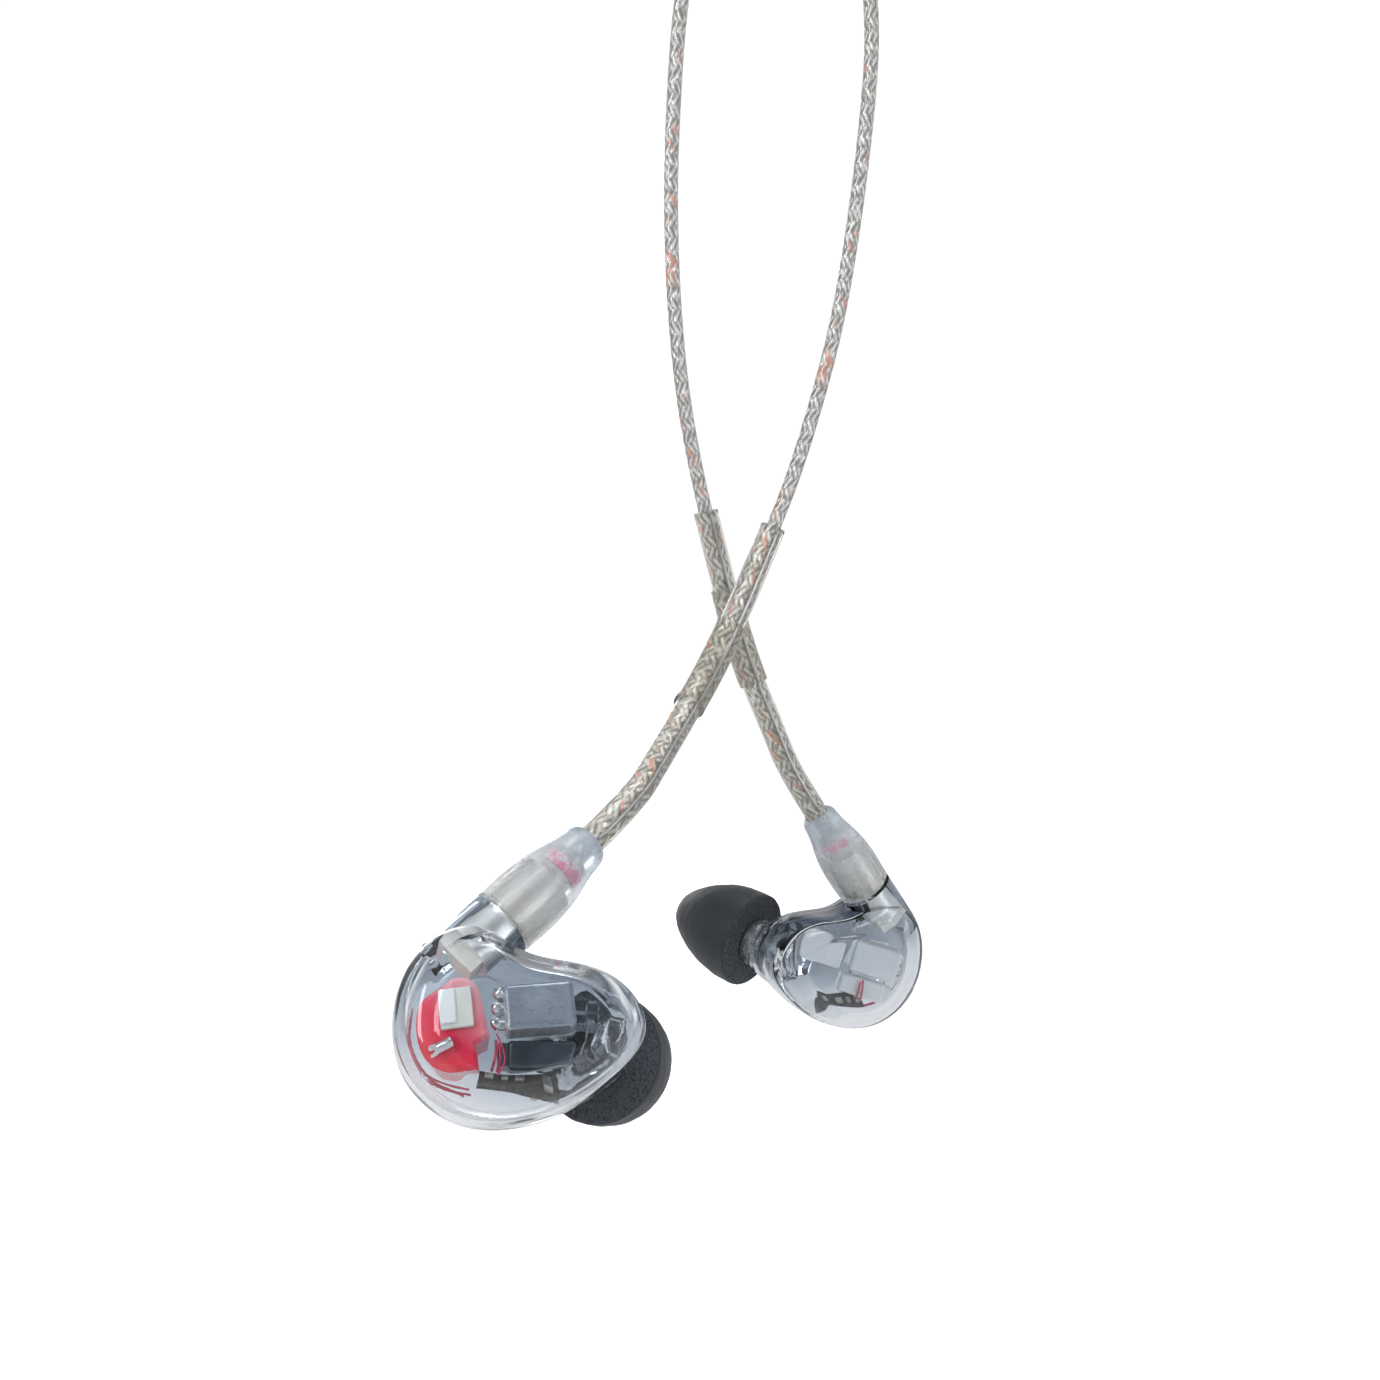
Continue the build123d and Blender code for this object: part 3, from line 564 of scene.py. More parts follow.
def smudged_mark(name):
    """A coloured mark, blotchy as if seen through the frosted moulding."""
    s = Surface(name, (0.7, 0.09, 0.2), Roughness=0.5)
    place = s.place()
    blotch = s.noise(place, 620.0, 2.0, 0.5)
    speck = s.noise(place, 3200.0, 2.0, 0.5)
    share = s.maths("MULTIPLY_ADD", speck, 0.4, s.maths("MULTIPLY", blotch, 0.6))
    s.into(s.ramp(share, (0.44, (0.66, 0.67, 0.68)), (0.53, (0.68, 0.1, 0.22))), "Base Color")
    return s.material


def tinted_resin(name, low, high, pale, span, direction):
    """Tinted translucent resin that goes from full colour to pale along one direction."""
    s = Surface(name, low, Transmission_Weight=0.12, Subsurface_Weight=0.35, Subsurface_Scale=0.0012,
                Coat_Weight=0.35, Coat_Roughness=0.1, IOR=1.4)
    place = s.place()
    dot = s.add("ShaderNodeVectorMath", operation="DOT_PRODUCT")
    s.link(place, dot.inputs[0])
    dot.inputs[1].default_value = direction
    share = s.add("ShaderNodeMapRange")
    s.link(dot.outputs["Value"], share.inputs[0])
    share.inputs["From Min"].default_value = span[0]
    share.inputs["From Max"].default_value = span[1]
    swirl = s.noise(place, 420.0, 3.0, 0.5, 0.6)
    wobble = s.maths("MULTIPLY_ADD", swirl, 0.34, s.maths("SUBTRACT", share.outputs[0], 0.17))
    s.into(s.ramp(wobble, (0.05, low), (0.5, high), (0.95, pale)), "Base Color")
    s.into(s.span(swirl, 0.15, 0.35), "Roughness")
    return s.material


def plain_moulding(name, colour, roughness, grain_scale, depth, variation=0.12, **settings):
    """Moulded plastic or rubber: slight colour drift and a fine moulded grain."""
    s = Surface(name, colour, **settings)
    place = s.place()
    drift = s.noise(place, 150.0, 4.0)
    darker = tuple(c * (1 - variation) for c in colour)
    lighter = tuple(min(1.0, c * (1 + variation)) for c in colour)
    s.into(s.ramp(drift, (0.3, darker), (0.7, lighter)), "Base Color")
    grain = s.noise(place, grain_scale, 3.0, 0.6)
    s.into(s.span(grain, roughness * 0.8, roughness * 1.2), "Roughness")
    s.bump(grain, depth, 0.5)
    return s.material


def foam_skin(name):
    """The smooth moulded skin of the foam, charcoal with a soft blue-grey sheen."""
    s = Surface(name, (0.01, 0.012, 0.016), Sheen_Weight=0.06, Sheen_Roughness=0.5)
    place = s.place()
    grain = s.noise(place, 1900.0, 4.0, 0.65)
    cloud = s.noise(place, 180.0, 3.0)
    tone = s.mix(cloud, (0.006, 0.008, 0.012), (0.014, 0.017, 0.023))
    s.into(s.mix(s.ramp(grain, (0.5, 0.0), (0.75, 0.5)), tone, (0.03, 0.034, 0.042)), "Base Color")
    s.into(s.span(grain, 0.45, 0.65), "Roughness")
    s.bump(grain, 0.00006, 0.45)
    return s.material


def foam_cut(name):
    """The cut back face of the foam: open pores darkened with painted shade, and pale specks."""
    s = Surface(name, (0.03, 0.033, 0.038), Roughness=0.85)
    place = s.place()
    pores = s.cells(place, 3600.0)
    wide = s.noise(place, 1500.0, 4.0, 0.7)
    relief = s.maths("MULTIPLY_ADD", wide, 1.2, pores)
    # painted shade: darkest down in the pores, lighter on the ridges
    tone = s.ramp(relief, (0.35, (0.003, 0.004, 0.005)), (0.8, (0.022, 0.025, 0.031)),
                  (1.0, (0.06, 0.065, 0.075)))
    speck = s.noise(place, 5200.0, 1.0)
    s.into(s.mix(s.ramp(speck, (0.66, 0.0), (0.74, 0.5)), tone, (0.16, 0.17, 0.18)), "Base Color")
    s.bump(relief, 0.00025, 0.9)
    return s.material


def enamelled(name, colour):
    """Lacquered copper wire."""
    s = Surface(name, colour, Coat_Weight=1.0, Coat_Roughness=0.08, Metallic=0.35)
    drift = s.noise(s.place(), 900.0, 2.0)
    darker = tuple(c * 0.6 for c in colour)
    s.into(s.ramp(drift, (0.35, darker), (0.65, colour)), "Base Color")
    s.into(s.span(drift, 0.2, 0.4), "Roughness")
    return s.material


def mesh_screen(name):
    """Woven wire mesh, seen as fine crossing wires over holes painted dark as painted shade."""
    s = Surface(name, (0.3, 0.3, 0.32), Metallic=0.9, Roughness=0.4)
    parts = s.add("ShaderNodeSeparateXYZ")
    s.link(s.mapped(s.place(), (5200, 5200, 5200), (0.5, 0.6, 0.3)), parts.inputs[0])
    one = s.maths("PINGPONG", parts.outputs["X"], 0.5)
    two = s.maths("PINGPONG", parts.outputs["Y"], 0.5)
    wire = s.maths("MULTIPLY", s.maths("MAXIMUM", one, two), 2.0, clamp=True)
    # painted shade: the holes between the wires are near black
    s.into(s.ramp(wire, (0.5, (0.02, 0.02, 0.02)), (0.7, (0.5, 0.5, 0.52))), "Base Color")
    s.bump(wire, 0.00008, 0.8)
    return s.material


def circuit(name):
    """Black solder mask with faint copper tracks beneath."""
    s = Surface(name, (0.01, 0.011, 0.013), Coat_Weight=0.15, Coat_Roughness=0.2)
    place = s.mapped(s.place(), rotation=(0.1, 0.2, 0.3))
    track = s.add("ShaderNodeTexBrick")
    s.link(place, track.inputs["Vector"])
    track.inputs["Scale"].default_value = 900.0
    track.inputs["Mortar Size"].default_value = 0.06
    track.inputs["Color1"].default_value = (0.006, 0.007, 0.009, 1)
    track.inputs["Color2"].default_value = (0.012, 0.013, 0.016, 1)
    track.inputs["Mortar"].default_value = (0.05, 0.04, 0.03, 1)
    s.into(track.outputs["Color"], "Base Color")
    s.into(s.span(s.noise(place, 800.0), 0.3, 0.5), "Roughness")
    s.bump(track.outputs["Fac"], 0.00003, 0.5)
    return s.material


PAINTED_HIGHLIGHT_FACING = (-0.7, -0.25, -0.67)  # the cans' lower left edges get a painted highlight
MATERIALS = {
    "clear_duct": clear_plastic("clear_duct_look", (0.97, 0.98, 0.99), 0.05, 1.25, 300.0, 0.0003),
    "clear_sleeve": soft_clear("clear_sleeve_look", (0.9, 0.88, 0.82), 0.12),
    "driver_steel": brushed_metal("driver_steel_look", (0.2, 0.23, 0.27), (0.46, 0.5, 0.55), 0.28,
                                  DRIVER_GRAIN, 5200.0, 0.12, PAINTED_HIGHLIGHT_FACING, 0.75),
    "nozzle_metal": brushed_metal("nozzle_metal_look", (0.6, 0.61, 0.62), (0.88, 0.88, 0.89), 0.25),
    "connector_metal": brushed_metal("connector_metal_look", (0.72, 0.7, 0.66), (0.95, 0.94, 0.92),
                                     0.4, lines_share=0.1),
    "contact_gold": brushed_metal("contact_gold_look", (0.62, 0.44, 0.16), (0.88, 0.7, 0.34), 0.2),
    "memory_wire": brushed_metal("memory_wire_look", (0.55, 0.55, 0.55), (0.85, 0.85, 0.86), 0.3),
    "chip_metal": brushed_metal("chip_metal_look", (0.45, 0.4, 0.34), (0.85, 0.83, 0.79), 0.35),
    "insulator": plain_moulding("insulator_look", (0.86, 0.83, 0.75), 0.4, 1500.0, 0.00003),
    "damper": plain_moulding("damper_look", (0.78, 0.76, 0.69), 0.85, 3500.0, 0.0001, 0.15,
                             Sheen_Weight=0.3),
    "enamel_wire": enamelled("enamel_wire_look", (0.62, 0.02, 0.09)),
    "tip_core": plain_moulding("tip_core_look", (0.3, 0.31, 0.33), 0.5, 1500.0, 0.00003),
    "moulded_grey": plain_moulding("moulded_grey_look", (0.36, 0.37, 0.38), 0.45, 2200.0, 0.00004),
    "tie_rubber": plain_moulding("tie_rubber_look", (0.035, 0.036, 0.04), 0.6, 1800.0, 0.00006),
    "screen_mesh": mesh_screen("screen_mesh_look"),
    "board_black": circuit("board_look"),
    "braided_cable": braid("braided_strand_look", 8.0, 0.0115),
    "tip_foam": foam_skin("foam_skin_look"),
}
# lit and shaded copies of one can metal: light silver with a painted highlight for the right cans, a dark can of
# painted shade for the left mid driver; the left's steel-blue slot look is a darker copy too
LIT_SILVER_CAN = brushed_metal("lit_silver_can_look", (0.66, 0.67, 0.68), (0.92, 0.92, 0.93), 0.3,
                           DRIVER_GRAIN, 5200.0, 0.25, (0.3, -0.5, -0.8), 0.7)
SHADED_DARK_CAN = brushed_metal("shaded_dark_can_look", (0.03, 0.036, 0.045), (0.17, 0.19, 0.22), 0.22,
                         DRIVER_GRAIN, 5200.0, 0.12)
SOLDER = brushed_metal("solder_look", (0.62, 0.62, 0.62), (0.95, 0.95, 0.94), 0.16)
PAPER = plain_moulding("window_look", (0.9, 0.91, 0.9), 0.5, 2400.0, 0.00003, 0.05)
MARK = smudged_mark("mark_look")
WETTED = wetted("wetted_bore_look")
TRUNK_LOOK = braid("braided_trunk_look", 10.0, 0.016)
FOAM_CUT = foam_cut("foam_cut_look")


def span_along(node, direction):
    """Lowest and highest value of a CAD node's vertices along a direction."""
    values = [vertex.co.dot(direction) for vertex in frame["nodes"][node].data.vertices]
    return min(values), max(values)


RED_DIRECTION = Vector((0.62, 0.15, 0.77)).normalized()
MATERIALS["housing_red"] = tinted_resin(
    "housing_red_look", (0.82, 0.0, 0.012), (0.9, 0.03, 0.09), (0.97, 0.48, 0.52),
    span_along("left_acoustic_housing", RED_DIRECTION), RED_DIRECTION)
MATERIALS["housing_clear"] = clear_plastic(
    "housing_clear_look", (0.9, 0.92, 0.93), 0.06, 1.4, 300.0, 0.0003)

# colours of the clear plastic: painted shade deep in the body, half way out, and pale along the lower rim; the
# right tub's painted shade is darker
FACE_TINTS_AND_SHADE = (0.82, 0.86, 0.89), (0.84, 0.87, 0.9), (0.96, 0.965, 0.975)
TUB_TINTS_AND_SHADE = {
    "left": ((0.44, 0.5, 0.57), (0.68, 0.74, 0.8), (0.96, 0.965, 0.975)),
    "right": ((0.27, 0.31, 0.36), (0.5, 0.55, 0.61), (0.93, 0.94, 0.955)),
}
for side in SIDES:
    MATERIALS[f"{side}_face"] = shell_plastic(f"{side}_face_look", side, *FACE_TINTS_AND_SHADE)
    MATERIALS[f"{side}_tub"] = shell_plastic(f"{side}_tub_look", side, *TUB_TINTS_AND_SHADE[side])
    MATERIALS[f"{side}_boot"] = frosted(f"{side}_boot_look", side)
OWN_LOOKS = {  # nodes whose finish differs from that of their slot
    "left_faceplate": MATERIALS["left_face"], "right_faceplate": MATERIALS["right_face"],
    "left_inner_shell": MATERIALS["left_tub"], "right_inner_shell": MATERIALS["right_tub"],
    "left_boot": MATERIALS["left_boot"], "right_boot": MATERIALS["right_boot"],
    # these cans' looks are painted light on the right and painted shade on the left mid driver
    "left_mid_driver": SHADED_DARK_CAN, "right_woofer": LIT_SILVER_CAN, "right_mid_driver": LIT_SILVER_CAN,
    "right_tweeter": LIT_SILVER_CAN,
}
for row in frame["record"]["subparts"]:
    node = frame["nodes"][row["node"]]
    look = OWN_LOOKS.get(row["node"]) or MATERIALS[row["material_slot"]]
    for material_slot in node.material_slots:
        material_slot.material = look


# ---- cable ----
def route(side):
    swivel = joints[f"{side}_swivel"]
    neck = Vector(swivel["pos_m"]) / MM
    axis = Vector(swivel["axis"])
    points = [neck + axis * STRAND_START, neck + axis * HOOK_START]
    points += [Vector(p) for p in ROUTES[side]]
    end = points.pop()
    points.append(Vector((end.x, end.y, STRAIGHT_PAIR_Z)))
    points.append(end)
    return points


def sleeve_piece(name, side, stands_for, points, outer, bore):
    """A clear sleeve round the strand, with its bore wetting what it sits on."""
    sleeve = tube_piece(f"{side}_{name}", points, outer, 28, bore)
    sleeve.data.materials.append(MATERIALS["clear_sleeve"])
    sleeve.data.materials.append(WETTED)
    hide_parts(f"{side}_{stands_for}")
    return sleeve


def make_strand(side):
    """One side's braided strand, with the formed sleeve, its wire and the collar sleeve on it."""
    line = spline_points(f"{side}_route", route(side))
    strand = tube_piece(f"{side}_braided_strand", line, STRAND_R, 24)
    strand.data.materials.append(MATERIALS["braided_cable"])
    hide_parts(f"{side}_strand")
    low = BOOT_GAP + BOOT_LENGTH - STRAND_START
    high = low + SLEEVE_LENGTHS[side]
    sleeve = sleeve_piece("clear_sleeve", side, "hook_sleeve", stretch(line, low, high),
                          SLEEVE_R, SLEEVE_BORE_R)
    wire_line = stretch(line, low + HOOK_WIRE_INSET, high - HOOK_WIRE_INSET)
    wire = tube_piece(f"{side}_formable_wire", wire_line, HOOK_WIRE_R, 10,
                      None, HOOK_WIRE_OFF, math.radians(HOOK_WIRE_ANGLE))
    wire.data.materials.append(MATERIALS["memory_wire"])
    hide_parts(f"{side}_hook_wire")
    collar_low = low + COLLAR_SLEEVE_STARTS[side]
    collar_line = stretch(line, collar_low, collar_low + COLLAR_SLEEVE_LENGTH)
    collar = sleeve_piece("sleeve_collar", side, "hook_collar", collar_line,
                          COLLAR_SLEEVE_R, SLEEVE_R + SLEEVE_FIT)
    pieces = [sleeve, wire, collar]
    for piece in [strand, *pieces]:
        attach(piece, "cable")


def coil_places():
    """Layer and column of each place in the bundle, in winding order: to and fro by columns."""
    order = []
    for column in range(COIL_COLUMNS):
        layers = range(COIL_LAYERS)
        for layer in (reversed(layers) if column % 2 == 0 else layers):
            order.append((layer, column))
    return order


def coil_points():
    """Control points of the wound trunk, which steps from place to place once in each turn."""
    order = coil_places()
    last_place = len(order) - 1
    # the line runs inside its control points by this share of the radius
    inside = 0.75 + 0.25 * math.cos(2 * math.pi / COIL_POINTS_PER_TURN)
    end = COIL_END + 360.0 * (len(order) - 2)
    count = round((end - COIL_START) / 360.0 * COIL_POINTS_PER_TURN)
    points = []
    for index in range(count + 1):
        angle = COIL_START + (end - COIL_START) * index / count
        turns = (angle - COIL_SHIFT_AT) / 360.0
        shift = round(turns)
        share = min(1.0, max(0.0, 0.5 + (turns - shift) / COIL_SHIFT_TURN))
        here = order[min(max(shift, 0), last_place)]
        there = order[min(max(shift + 1, 0), last_place)]
        layer = here[0] + (there[0] - here[0]) * share
        column = here[1] + (there[1] - here[1]) * share
        radius = (COIL_MID_R + (layer - (COIL_LAYERS - 1) / 2) * 2 * TRUNK_R) / inside
        across = (column - (COIL_COLUMNS - 1) / 2) * 2 * TRUNK_R
        turn = math.radians(angle)
        points.append((radius * math.cos(turn), across, radius * math.sin(turn)))
    return points


def make_trunk():
    line = spline_points("trunk_route", TRUNK_LEAD + coil_points() + PLUG_LEAD)
    trunk = tube_piece("braided_trunk", line, TRUNK_R, 16)
    trunk.data.materials.append(TRUNK_LOOK)
    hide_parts("trunk_lead", "coil", "plug_lead")
    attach(trunk, "cable")


for side in SIDES:
    make_strand(side)
make_trunk()


# ---- foam tips ----
def tip_profile():
    """Radius and height up the foam from its back, in millimetres, outside and in the bore."""
    outside = [
        (TIP_BORE_R, 0.0), (TIP_R - 1.2, -0.05), (TIP_R - 0.45, 0.0), (TIP_R - 0.12, 0.14),
        (TIP_R, 0.45), (TIP_R, 1.4), (TIP_R - 0.02, 2.6), (TIP_R - 0.2, 4.2), (TIP_R - 0.62, 6.0),
        (TIP_R - 1.35, 7.9), (TIP_R - 2.25, 9.6), (TIP_R - 3.1, 10.9), (TIP_R - 3.75, 11.6),
        (TIP_MOUTH_R + 0.3, TIP_LENGTH - 0.05), (TIP_MOUTH_R, TIP_LENGTH - 0.2),
    ]
    inside = [(TIP_MOUTH_R, CORE_LENGTH), (TIP_BORE_R, CORE_LENGTH)]
    return outside, inside


def smooth_line(points, steps):
    """A Catmull-Rom line through the points."""
    result = []
    for index in range(len(points) - 1):
        p0 = points[max(index - 1, 0)]
        p1, p2 = points[index], points[index + 1]
        p3 = points[min(index + 2, len(points) - 1)]
        for step in range(steps):
            t = step / steps
            result.append(tuple(
                0.5 * (2 * b + (c - a) * t + (2 * a - 5 * b + 4 * c - d) * t * t
                       + (3 * b - a - 3 * c + d) * t ** 3)
                for a, b, c, d in zip(p0, p1, p2, p3)))
    result.append(points[-1])
    return result


def make_foam_tip(side):
    axis = Vector(joints[f"{side}_tip_pull"]["axis"]).normalized()
    back, _ = span_along(f"{side}_foam_tip", axis)
    vertices = frame["nodes"][f"{side}_tip_core"].data.vertices
    middle = sum((vertex.co for vertex in vertices), Vector()) / len(vertices)
    base = middle + axis * (back - middle.dot(axis))
    one = axis.orthogonal().normalized()
    two = axis.cross(one)
    outside, inside = tip_profile()
    outline = smooth_line(outside, TIP_STEPS)
    cut_rows = TIP_STEPS * TIP_CUT_POINTS
    form = bmesh.new()
    rows = []
    for number, (radius, height) in enumerate(outline + inside):
        ring = []
        for k in range(TIP_SEGMENTS):
            turn = 2 * math.pi * k / TIP_SEGMENTS
            direction = one * math.cos(turn) + two * math.sin(turn)
            point = base + direction * radius * MM + axis * height * MM
            lump = noise.noise(point * 900.0) * 0.05 * MM + noise.noise(point * 260.0) * 0.08 * MM
            if number >= len(outline):
                lump = 0.0
            ring.append(form.verts.new(point + direction * (lump - TIP_SHRINK * MM)))
        rows.append(ring)
    rows.append(rows[0])
    for number, (low, high) in enumerate(zip(rows, rows[1:])):
        for k in range(TIP_SEGMENTS):
            after = (k + 1) % TIP_SEGMENTS
            face = form.faces.new([low[k], low[after], high[after], high[k]])
            face.smooth = True
            face.material_index = 1 if number < cut_rows else 0
    bmesh.ops.recalc_face_normals(form, faces=form.faces)
    mesh = bpy.data.meshes.new(f"{side}_foam")
    form.to_mesh(mesh)
    form.free()
    tip = link_mesh(f"{side}_foam", mesh, MATERIALS["tip_foam"], FOAM_CUT)
    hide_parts(f"{side}_foam_tip")
    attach(tip, f"{side}_ear_tip")


for side in SIDES:
    make_foam_tip(side)


# ---- small pieces inside the shells, in the left shell's own frame in millimetres ----
def in_shell(side, point):
    """A point of the left shell's frame, mirrored for the right side, in metres in the world."""
    origin, along, up, out = SHELL_FRAMES[side]
    across = point[0] if side == "left" else -point[0]
    return (origin + along * across + up * point[1] + out * point[2]) * MM


def inner_piece(name, obj, side, material):
    obj.name = f"{side}_{name}"
    obj.data.materials.append(material)
    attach(obj, f"{side}_earphone")


def solder_blobs(side, places, size):
    """Uneven drops of solder."""
    form = bmesh.new()
    for number, place in enumerate(places):
        drop = bmesh.ops.create_icosphere(form, subdivisions=3, radius=size * MM)["verts"]
        centre = in_shell(side, place)
        for vertex in drop:
            pull = 1.0 + 0.22 * noise.noise(vertex.co.normalized() * 1.3 + Vector((number * 3.1, 0, 0)))
            vertex.co = centre + vertex.co * pull
    for face in form.faces:
        face.smooth = True
    mesh = bpy.data.meshes.new("solder")
    form.to_mesh(mesh)
    form.free()
    inner_piece("solder_drops", link_mesh("solder", mesh), side, SOLDER)


def vent_window(side, centre, size, turn):
    """The thin white plate on the damper, with rounded corners."""
    width, height, thick = size
    corner_r = 0.2
    outline = []
    for corner, (sx, sy) in enumerate([(1, 1), (-1, 1), (-1, -1), (1, -1)]):
        for step in range(5):
            angle = math.radians(90 * corner + 22.5 * step)
            outline.append((sx * (width / 2 - corner_r) + corner_r * math.cos(angle),
                            sy * (height / 2 - corner_r) + corner_r * math.sin(angle)))
    spin = math.radians(turn)
    vertices = []
    for z, share in ((0.0, 1.0), (thick * 0.7, 1.0), (thick, 0.9)):
        for x, y in outline:
            across = share * (x * math.cos(spin) - y * math.sin(spin))
            up = share * (x * math.sin(spin) + y * math.cos(spin))
            vertices.append(in_shell(side, (centre[0] + across, centre[1] + up, centre[2] + z)))
    count = len(outline)
    faces = [tuple(reversed(range(count))), tuple(range(2 * count, 3 * count))]
    for row in range(2):
        for k in range(count):
            after = (k + 1) % count
            low, high = row * count, (row + 1) * count
            faces.append((low + k, low + after, high + after, high + k))
    inner_piece("vent_window", mesh_object("window", vertices, faces, False), side, PAPER)


def vent_tube(side, start, end, radius):
    """The small tube on the chamber, cut at a slant at its open end."""
    first = in_shell(side, start)
    last = in_shell(side, end)
    points = [first.lerp(last, share) for share in (0.0, 0.12, 0.5, 0.88, 1.0)]
    tube = tube_piece("tube", points, radius, 24, radius * 0.62)
    axis = (last - first).normalized()
    lift = (in_shell(side, (0, 0, 1)) - in_shell(side, (0, 0, 0))).normalized()
    for vertex in tube.data.vertices:
        if (vertex.co - first).dot(axis) < 0.2 * (last - first).length:
            vertex.co += axis * max(0.0, (vertex.co - first).dot(lift) + radius * MM) * 0.8
    tube.data.materials.append(SOLDER)
    inner_piece("vent_tube", tube, side, SOLDER)


def wire_bundle(side, routes):
    """More lacquered wires beside those of the CAD node."""
    for number, points in enumerate(routes):
        line = spline_points("wire_line", [in_shell(side, p) / MM for p in points])
        wire = tube_piece("wire", line, 0.085, 8)
        inner_piece(f"thin_wire_{number + 1}", wire, side, MATERIALS["enamel_wire"])


def mark_band(side):
    """A plain coloured band on the crimp inside each boot tells the two sides apart."""
    swivel = joints[f"{side}_swivel"]
    neck = Vector(swivel["pos_m"])
    axis = Vector(swivel["axis"])
    low, high = MARK_SPANS[side]
    points = [neck + axis * (low + (high - low) * share) * MM for share in (0.0, 0.1, 0.9, 1.0)]
    swell = [radius * MM for radius in (MARK_R - 0.1, MARK_R, MARK_R, MARK_R - 0.1)]
    band = tube_piece(f"{side}_mark_band", points, lambda index: swell[index], 32)
    band.data.materials.append(MARK)
    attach(band, "cable")


solder_blobs("left", [(-2.15, -0.85, 2.2), (-2.2, 0.5, 2.4), (-2.15, 1.85, 2.5)], 0.62)
solder_blobs("right", [(-7.9, -1.9, 1.7), (-8.0, -0.4, 1.9), (-7.9, 0.8, 2.0)], 0.5)
vent_window("left", (-6.75, 0.15, 3.53), (1.5, 3.1, 0.22), 9.0)
vent_tube("left", (-8.0, -3.95, 3.25), (-6.0, -2.85, 3.5), 0.52)
wire_bundle("left", [
    [(-4.2, -6.6, 1.6), (-7.0, -6.1, 1.9), (-9.0, -4.3, 1.9), (-9.9, -1.6, 1.6), (-10.0, 0.4, 1.2)],
    [(-4.0, -6.9, 1.2), (-6.8, -6.6, 1.4), (-9.2, -4.6, 1.4), (-10.1, -1.9, 1.2), (-10.1, 0.0, 0.9)],
    [(-1.9, -5.6, 2.6), (-1.2, -4.6, 3.1), (-1.5, -3.2, 3.2), (-2.2, -1.9, 2.9)],
])
wire_bundle("right", [
    [(-6.0, -5.4, 1.6), (-5.7, -4.2, 2.6), (-5.9, -3.0, 2.4)],
    [(-9.6, 3.4, 0.6), (-10.0, 2.4, 0.9), (-9.9, 0.9, 1.0)],
])
for side in SIDES:
    mark_band(side)


# ---- floor, light and background, in metres ----
FLOOR_HALF = 4.0
FLOOR_Z = -0.262
LAMP_AIM = (-0.005, -0.01, -0.185)
LAMPS = [  # name, position, width and height, watts, colour
    ("key_lamp", (-0.35, -0.42, 0.1), (0.1, 0.3), 0.9, (1, 1, 1)),
    ("fill_lamp", (0.5, -0.3, -0.12), (0.06, 0.3), 0.35, (0.96, 0.98, 1.0)),
    ("top_lamp", (0.05, 0.05, 0.4), (0.25, 0.25), 0.9, (1, 1, 1)),
    ("back_lamp", (-0.25, 0.6, -0.05), (0.15, 0.4), 0.6, (1, 1, 1)),
]
STUDIO_BANDS = [  # height of the direction looked in, from straight down to straight up, and its colour
    (0.0, (0.5, 0.53, 0.57)), (0.3, (0.2, 0.22, 0.26)), (0.46, (0.3, 0.33, 0.38)),
    (0.53, (0.5, 0.54, 0.59)), (0.68, (1.15, 1.16, 1.18)), (0.8, (0.12, 0.14, 0.17)),
    (1.0, (0.85, 0.88, 0.92)),
]


def make_stage():
    corners = [(-1, -1), (1, -1), (1, 1), (-1, 1)]
    floor = mesh_object("floor", [(x * FLOOR_HALF, y * FLOOR_HALF, FLOOR_Z) for x, y in corners],
                        [(0, 1, 2, 3)])
    look = Surface("floor_look", (0.9, 0.9, 0.9), Roughness=0.8, Emission_Color=(1, 1, 1, 1))
    path = look.add("ShaderNodeLightPath")
    look.into(look.maths("MULTIPLY", path.outputs["Is Camera Ray"], 0.65), "Emission Strength")
    drift = look.noise(look.place(), 3.0, 2.0)
    look.into(look.ramp(drift, (0.3, (0.88, 0.88, 0.88)), (0.7, (0.93, 0.93, 0.93))), "Base Color")
    floor.data.materials.append(look.material)


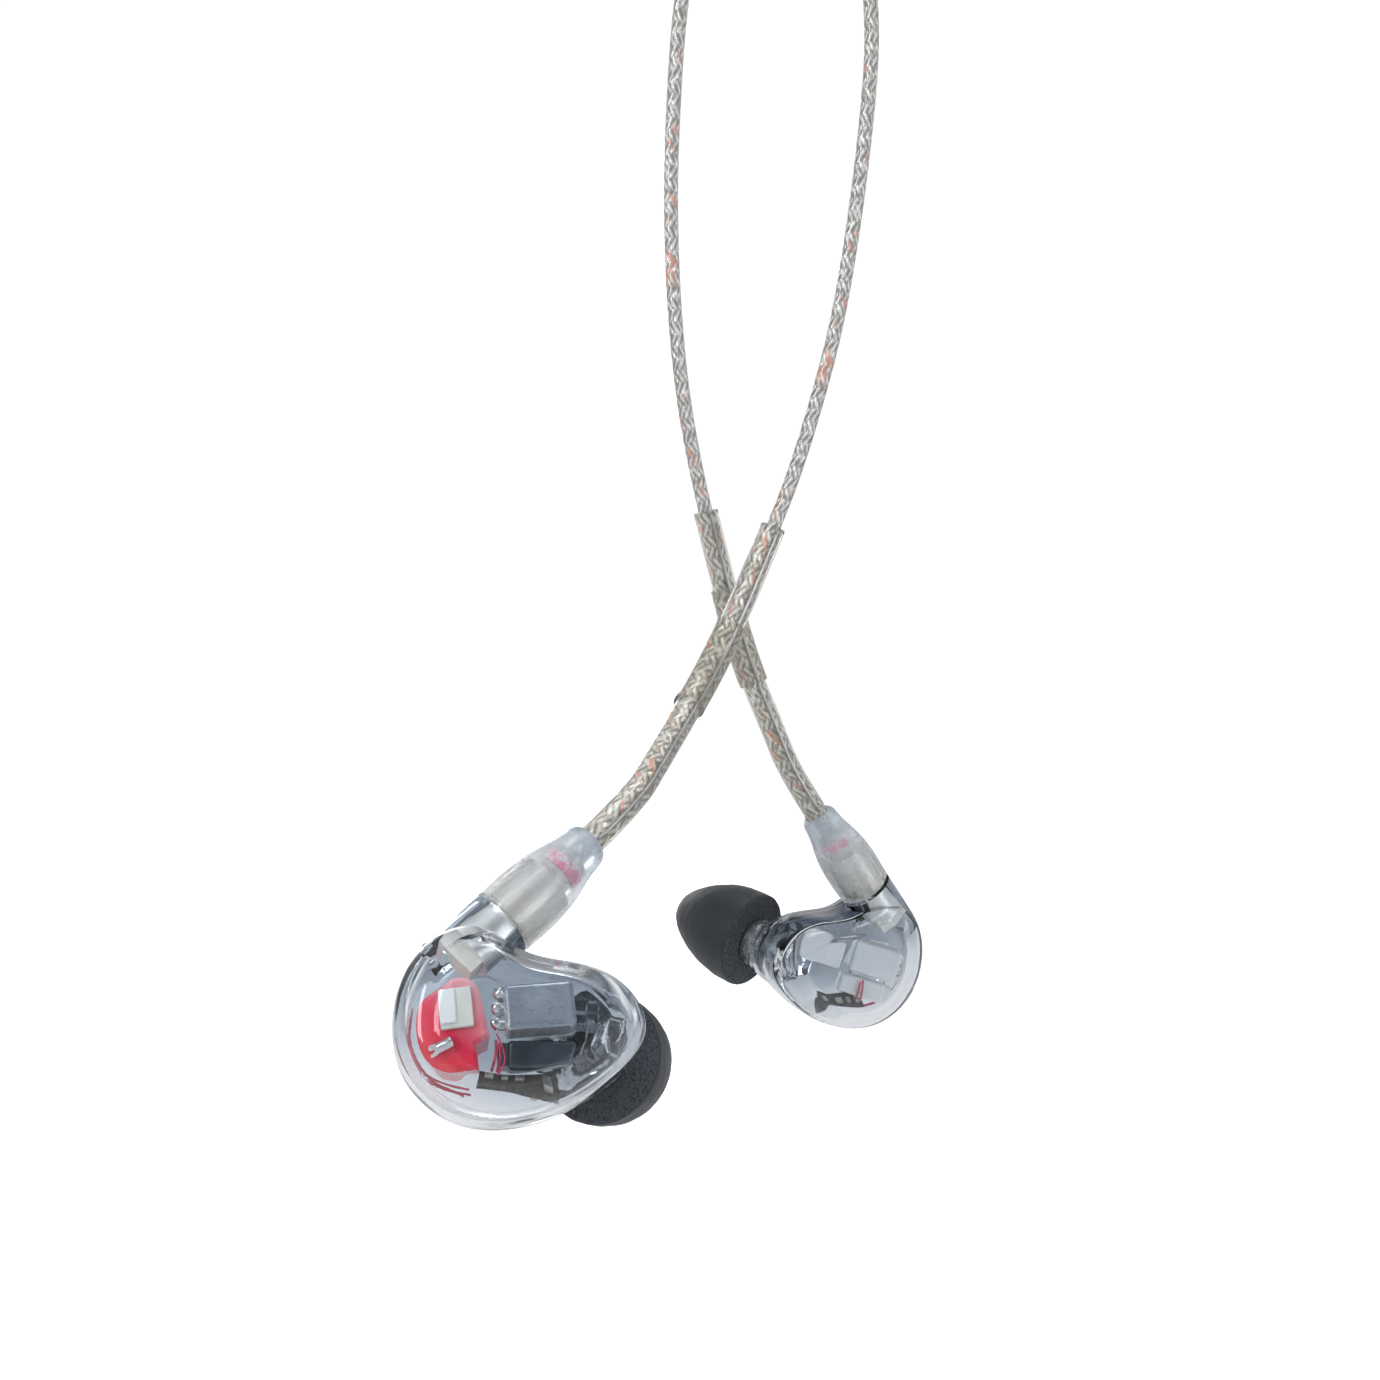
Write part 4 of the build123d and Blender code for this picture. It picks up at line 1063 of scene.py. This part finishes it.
def make_lamp(name, position, size, power, colour):
    data = bpy.data.lights.new(name, "AREA")
    data.shape = "RECTANGLE"
    data.size = size[0]
    data.size_y = size[1]
    data.energy = power
    data.color = colour
    lamp = bpy.data.objects.new(name, data)
    lamp.location = position
    lamp.rotation_euler = (Vector(LAMP_AIM) - Vector(position)).to_track_quat("-Z", "Y").to_euler()
    bpy.context.scene.collection.objects.link(lamp)


def make_world():
    """White to the camera; to reflections and through clear plastic a studio of soft greys."""
    world = bpy.data.worlds.new("studio")
    bpy.context.scene.world = world
    world.use_nodes = True
    tree = world.node_tree
    output = tree.nodes["World Output"]
    white = tree.nodes["Background"]
    white.inputs["Color"].default_value = (1, 1, 1, 1)
    white.inputs["Strength"].default_value = 1.05
    studio = tree.nodes.new("ShaderNodeBackground")
    studio.inputs["Strength"].default_value = 0.85
    place = tree.nodes.new("ShaderNodeTexCoord")
    parts = tree.nodes.new("ShaderNodeSeparateXYZ")
    tree.links.new(place.outputs["Generated"], parts.inputs[0])
    ramp = tree.nodes.new("ShaderNodeValToRGB")
    while len(ramp.color_ramp.elements) < len(STUDIO_BANDS):
        ramp.color_ramp.elements.new(0.5)
    for element, (position, colour) in zip(ramp.color_ramp.elements, STUDIO_BANDS):
        element.position = position
        element.color = (*colour, 1)
    height = tree.nodes.new("ShaderNodeMath")
    height.operation = "MULTIPLY_ADD"
    height.inputs[1].default_value = 0.5
    height.inputs[2].default_value = 0.5
    tree.links.new(parts.outputs["Z"], height.inputs[0])
    tree.links.new(height.outputs[0], ramp.inputs["Fac"])
    tree.links.new(ramp.outputs["Color"], studio.inputs["Color"])
    path = tree.nodes.new("ShaderNodeLightPath")
    mixer = tree.nodes.new("ShaderNodeMixShader")
    tree.links.new(path.outputs["Is Camera Ray"], mixer.inputs[0])
    tree.links.new(studio.outputs[0], mixer.inputs[1])
    tree.links.new(white.outputs[0], mixer.inputs[2])
    tree.links.new(mixer.outputs[0], output.inputs["Surface"])


make_stage()
make_world()
for lamp_row in LAMPS:
    make_lamp(*lamp_row)

bpy.context.scene.view_settings.view_transform = "Standard"
bpy.context.scene.view_settings.look = "None"
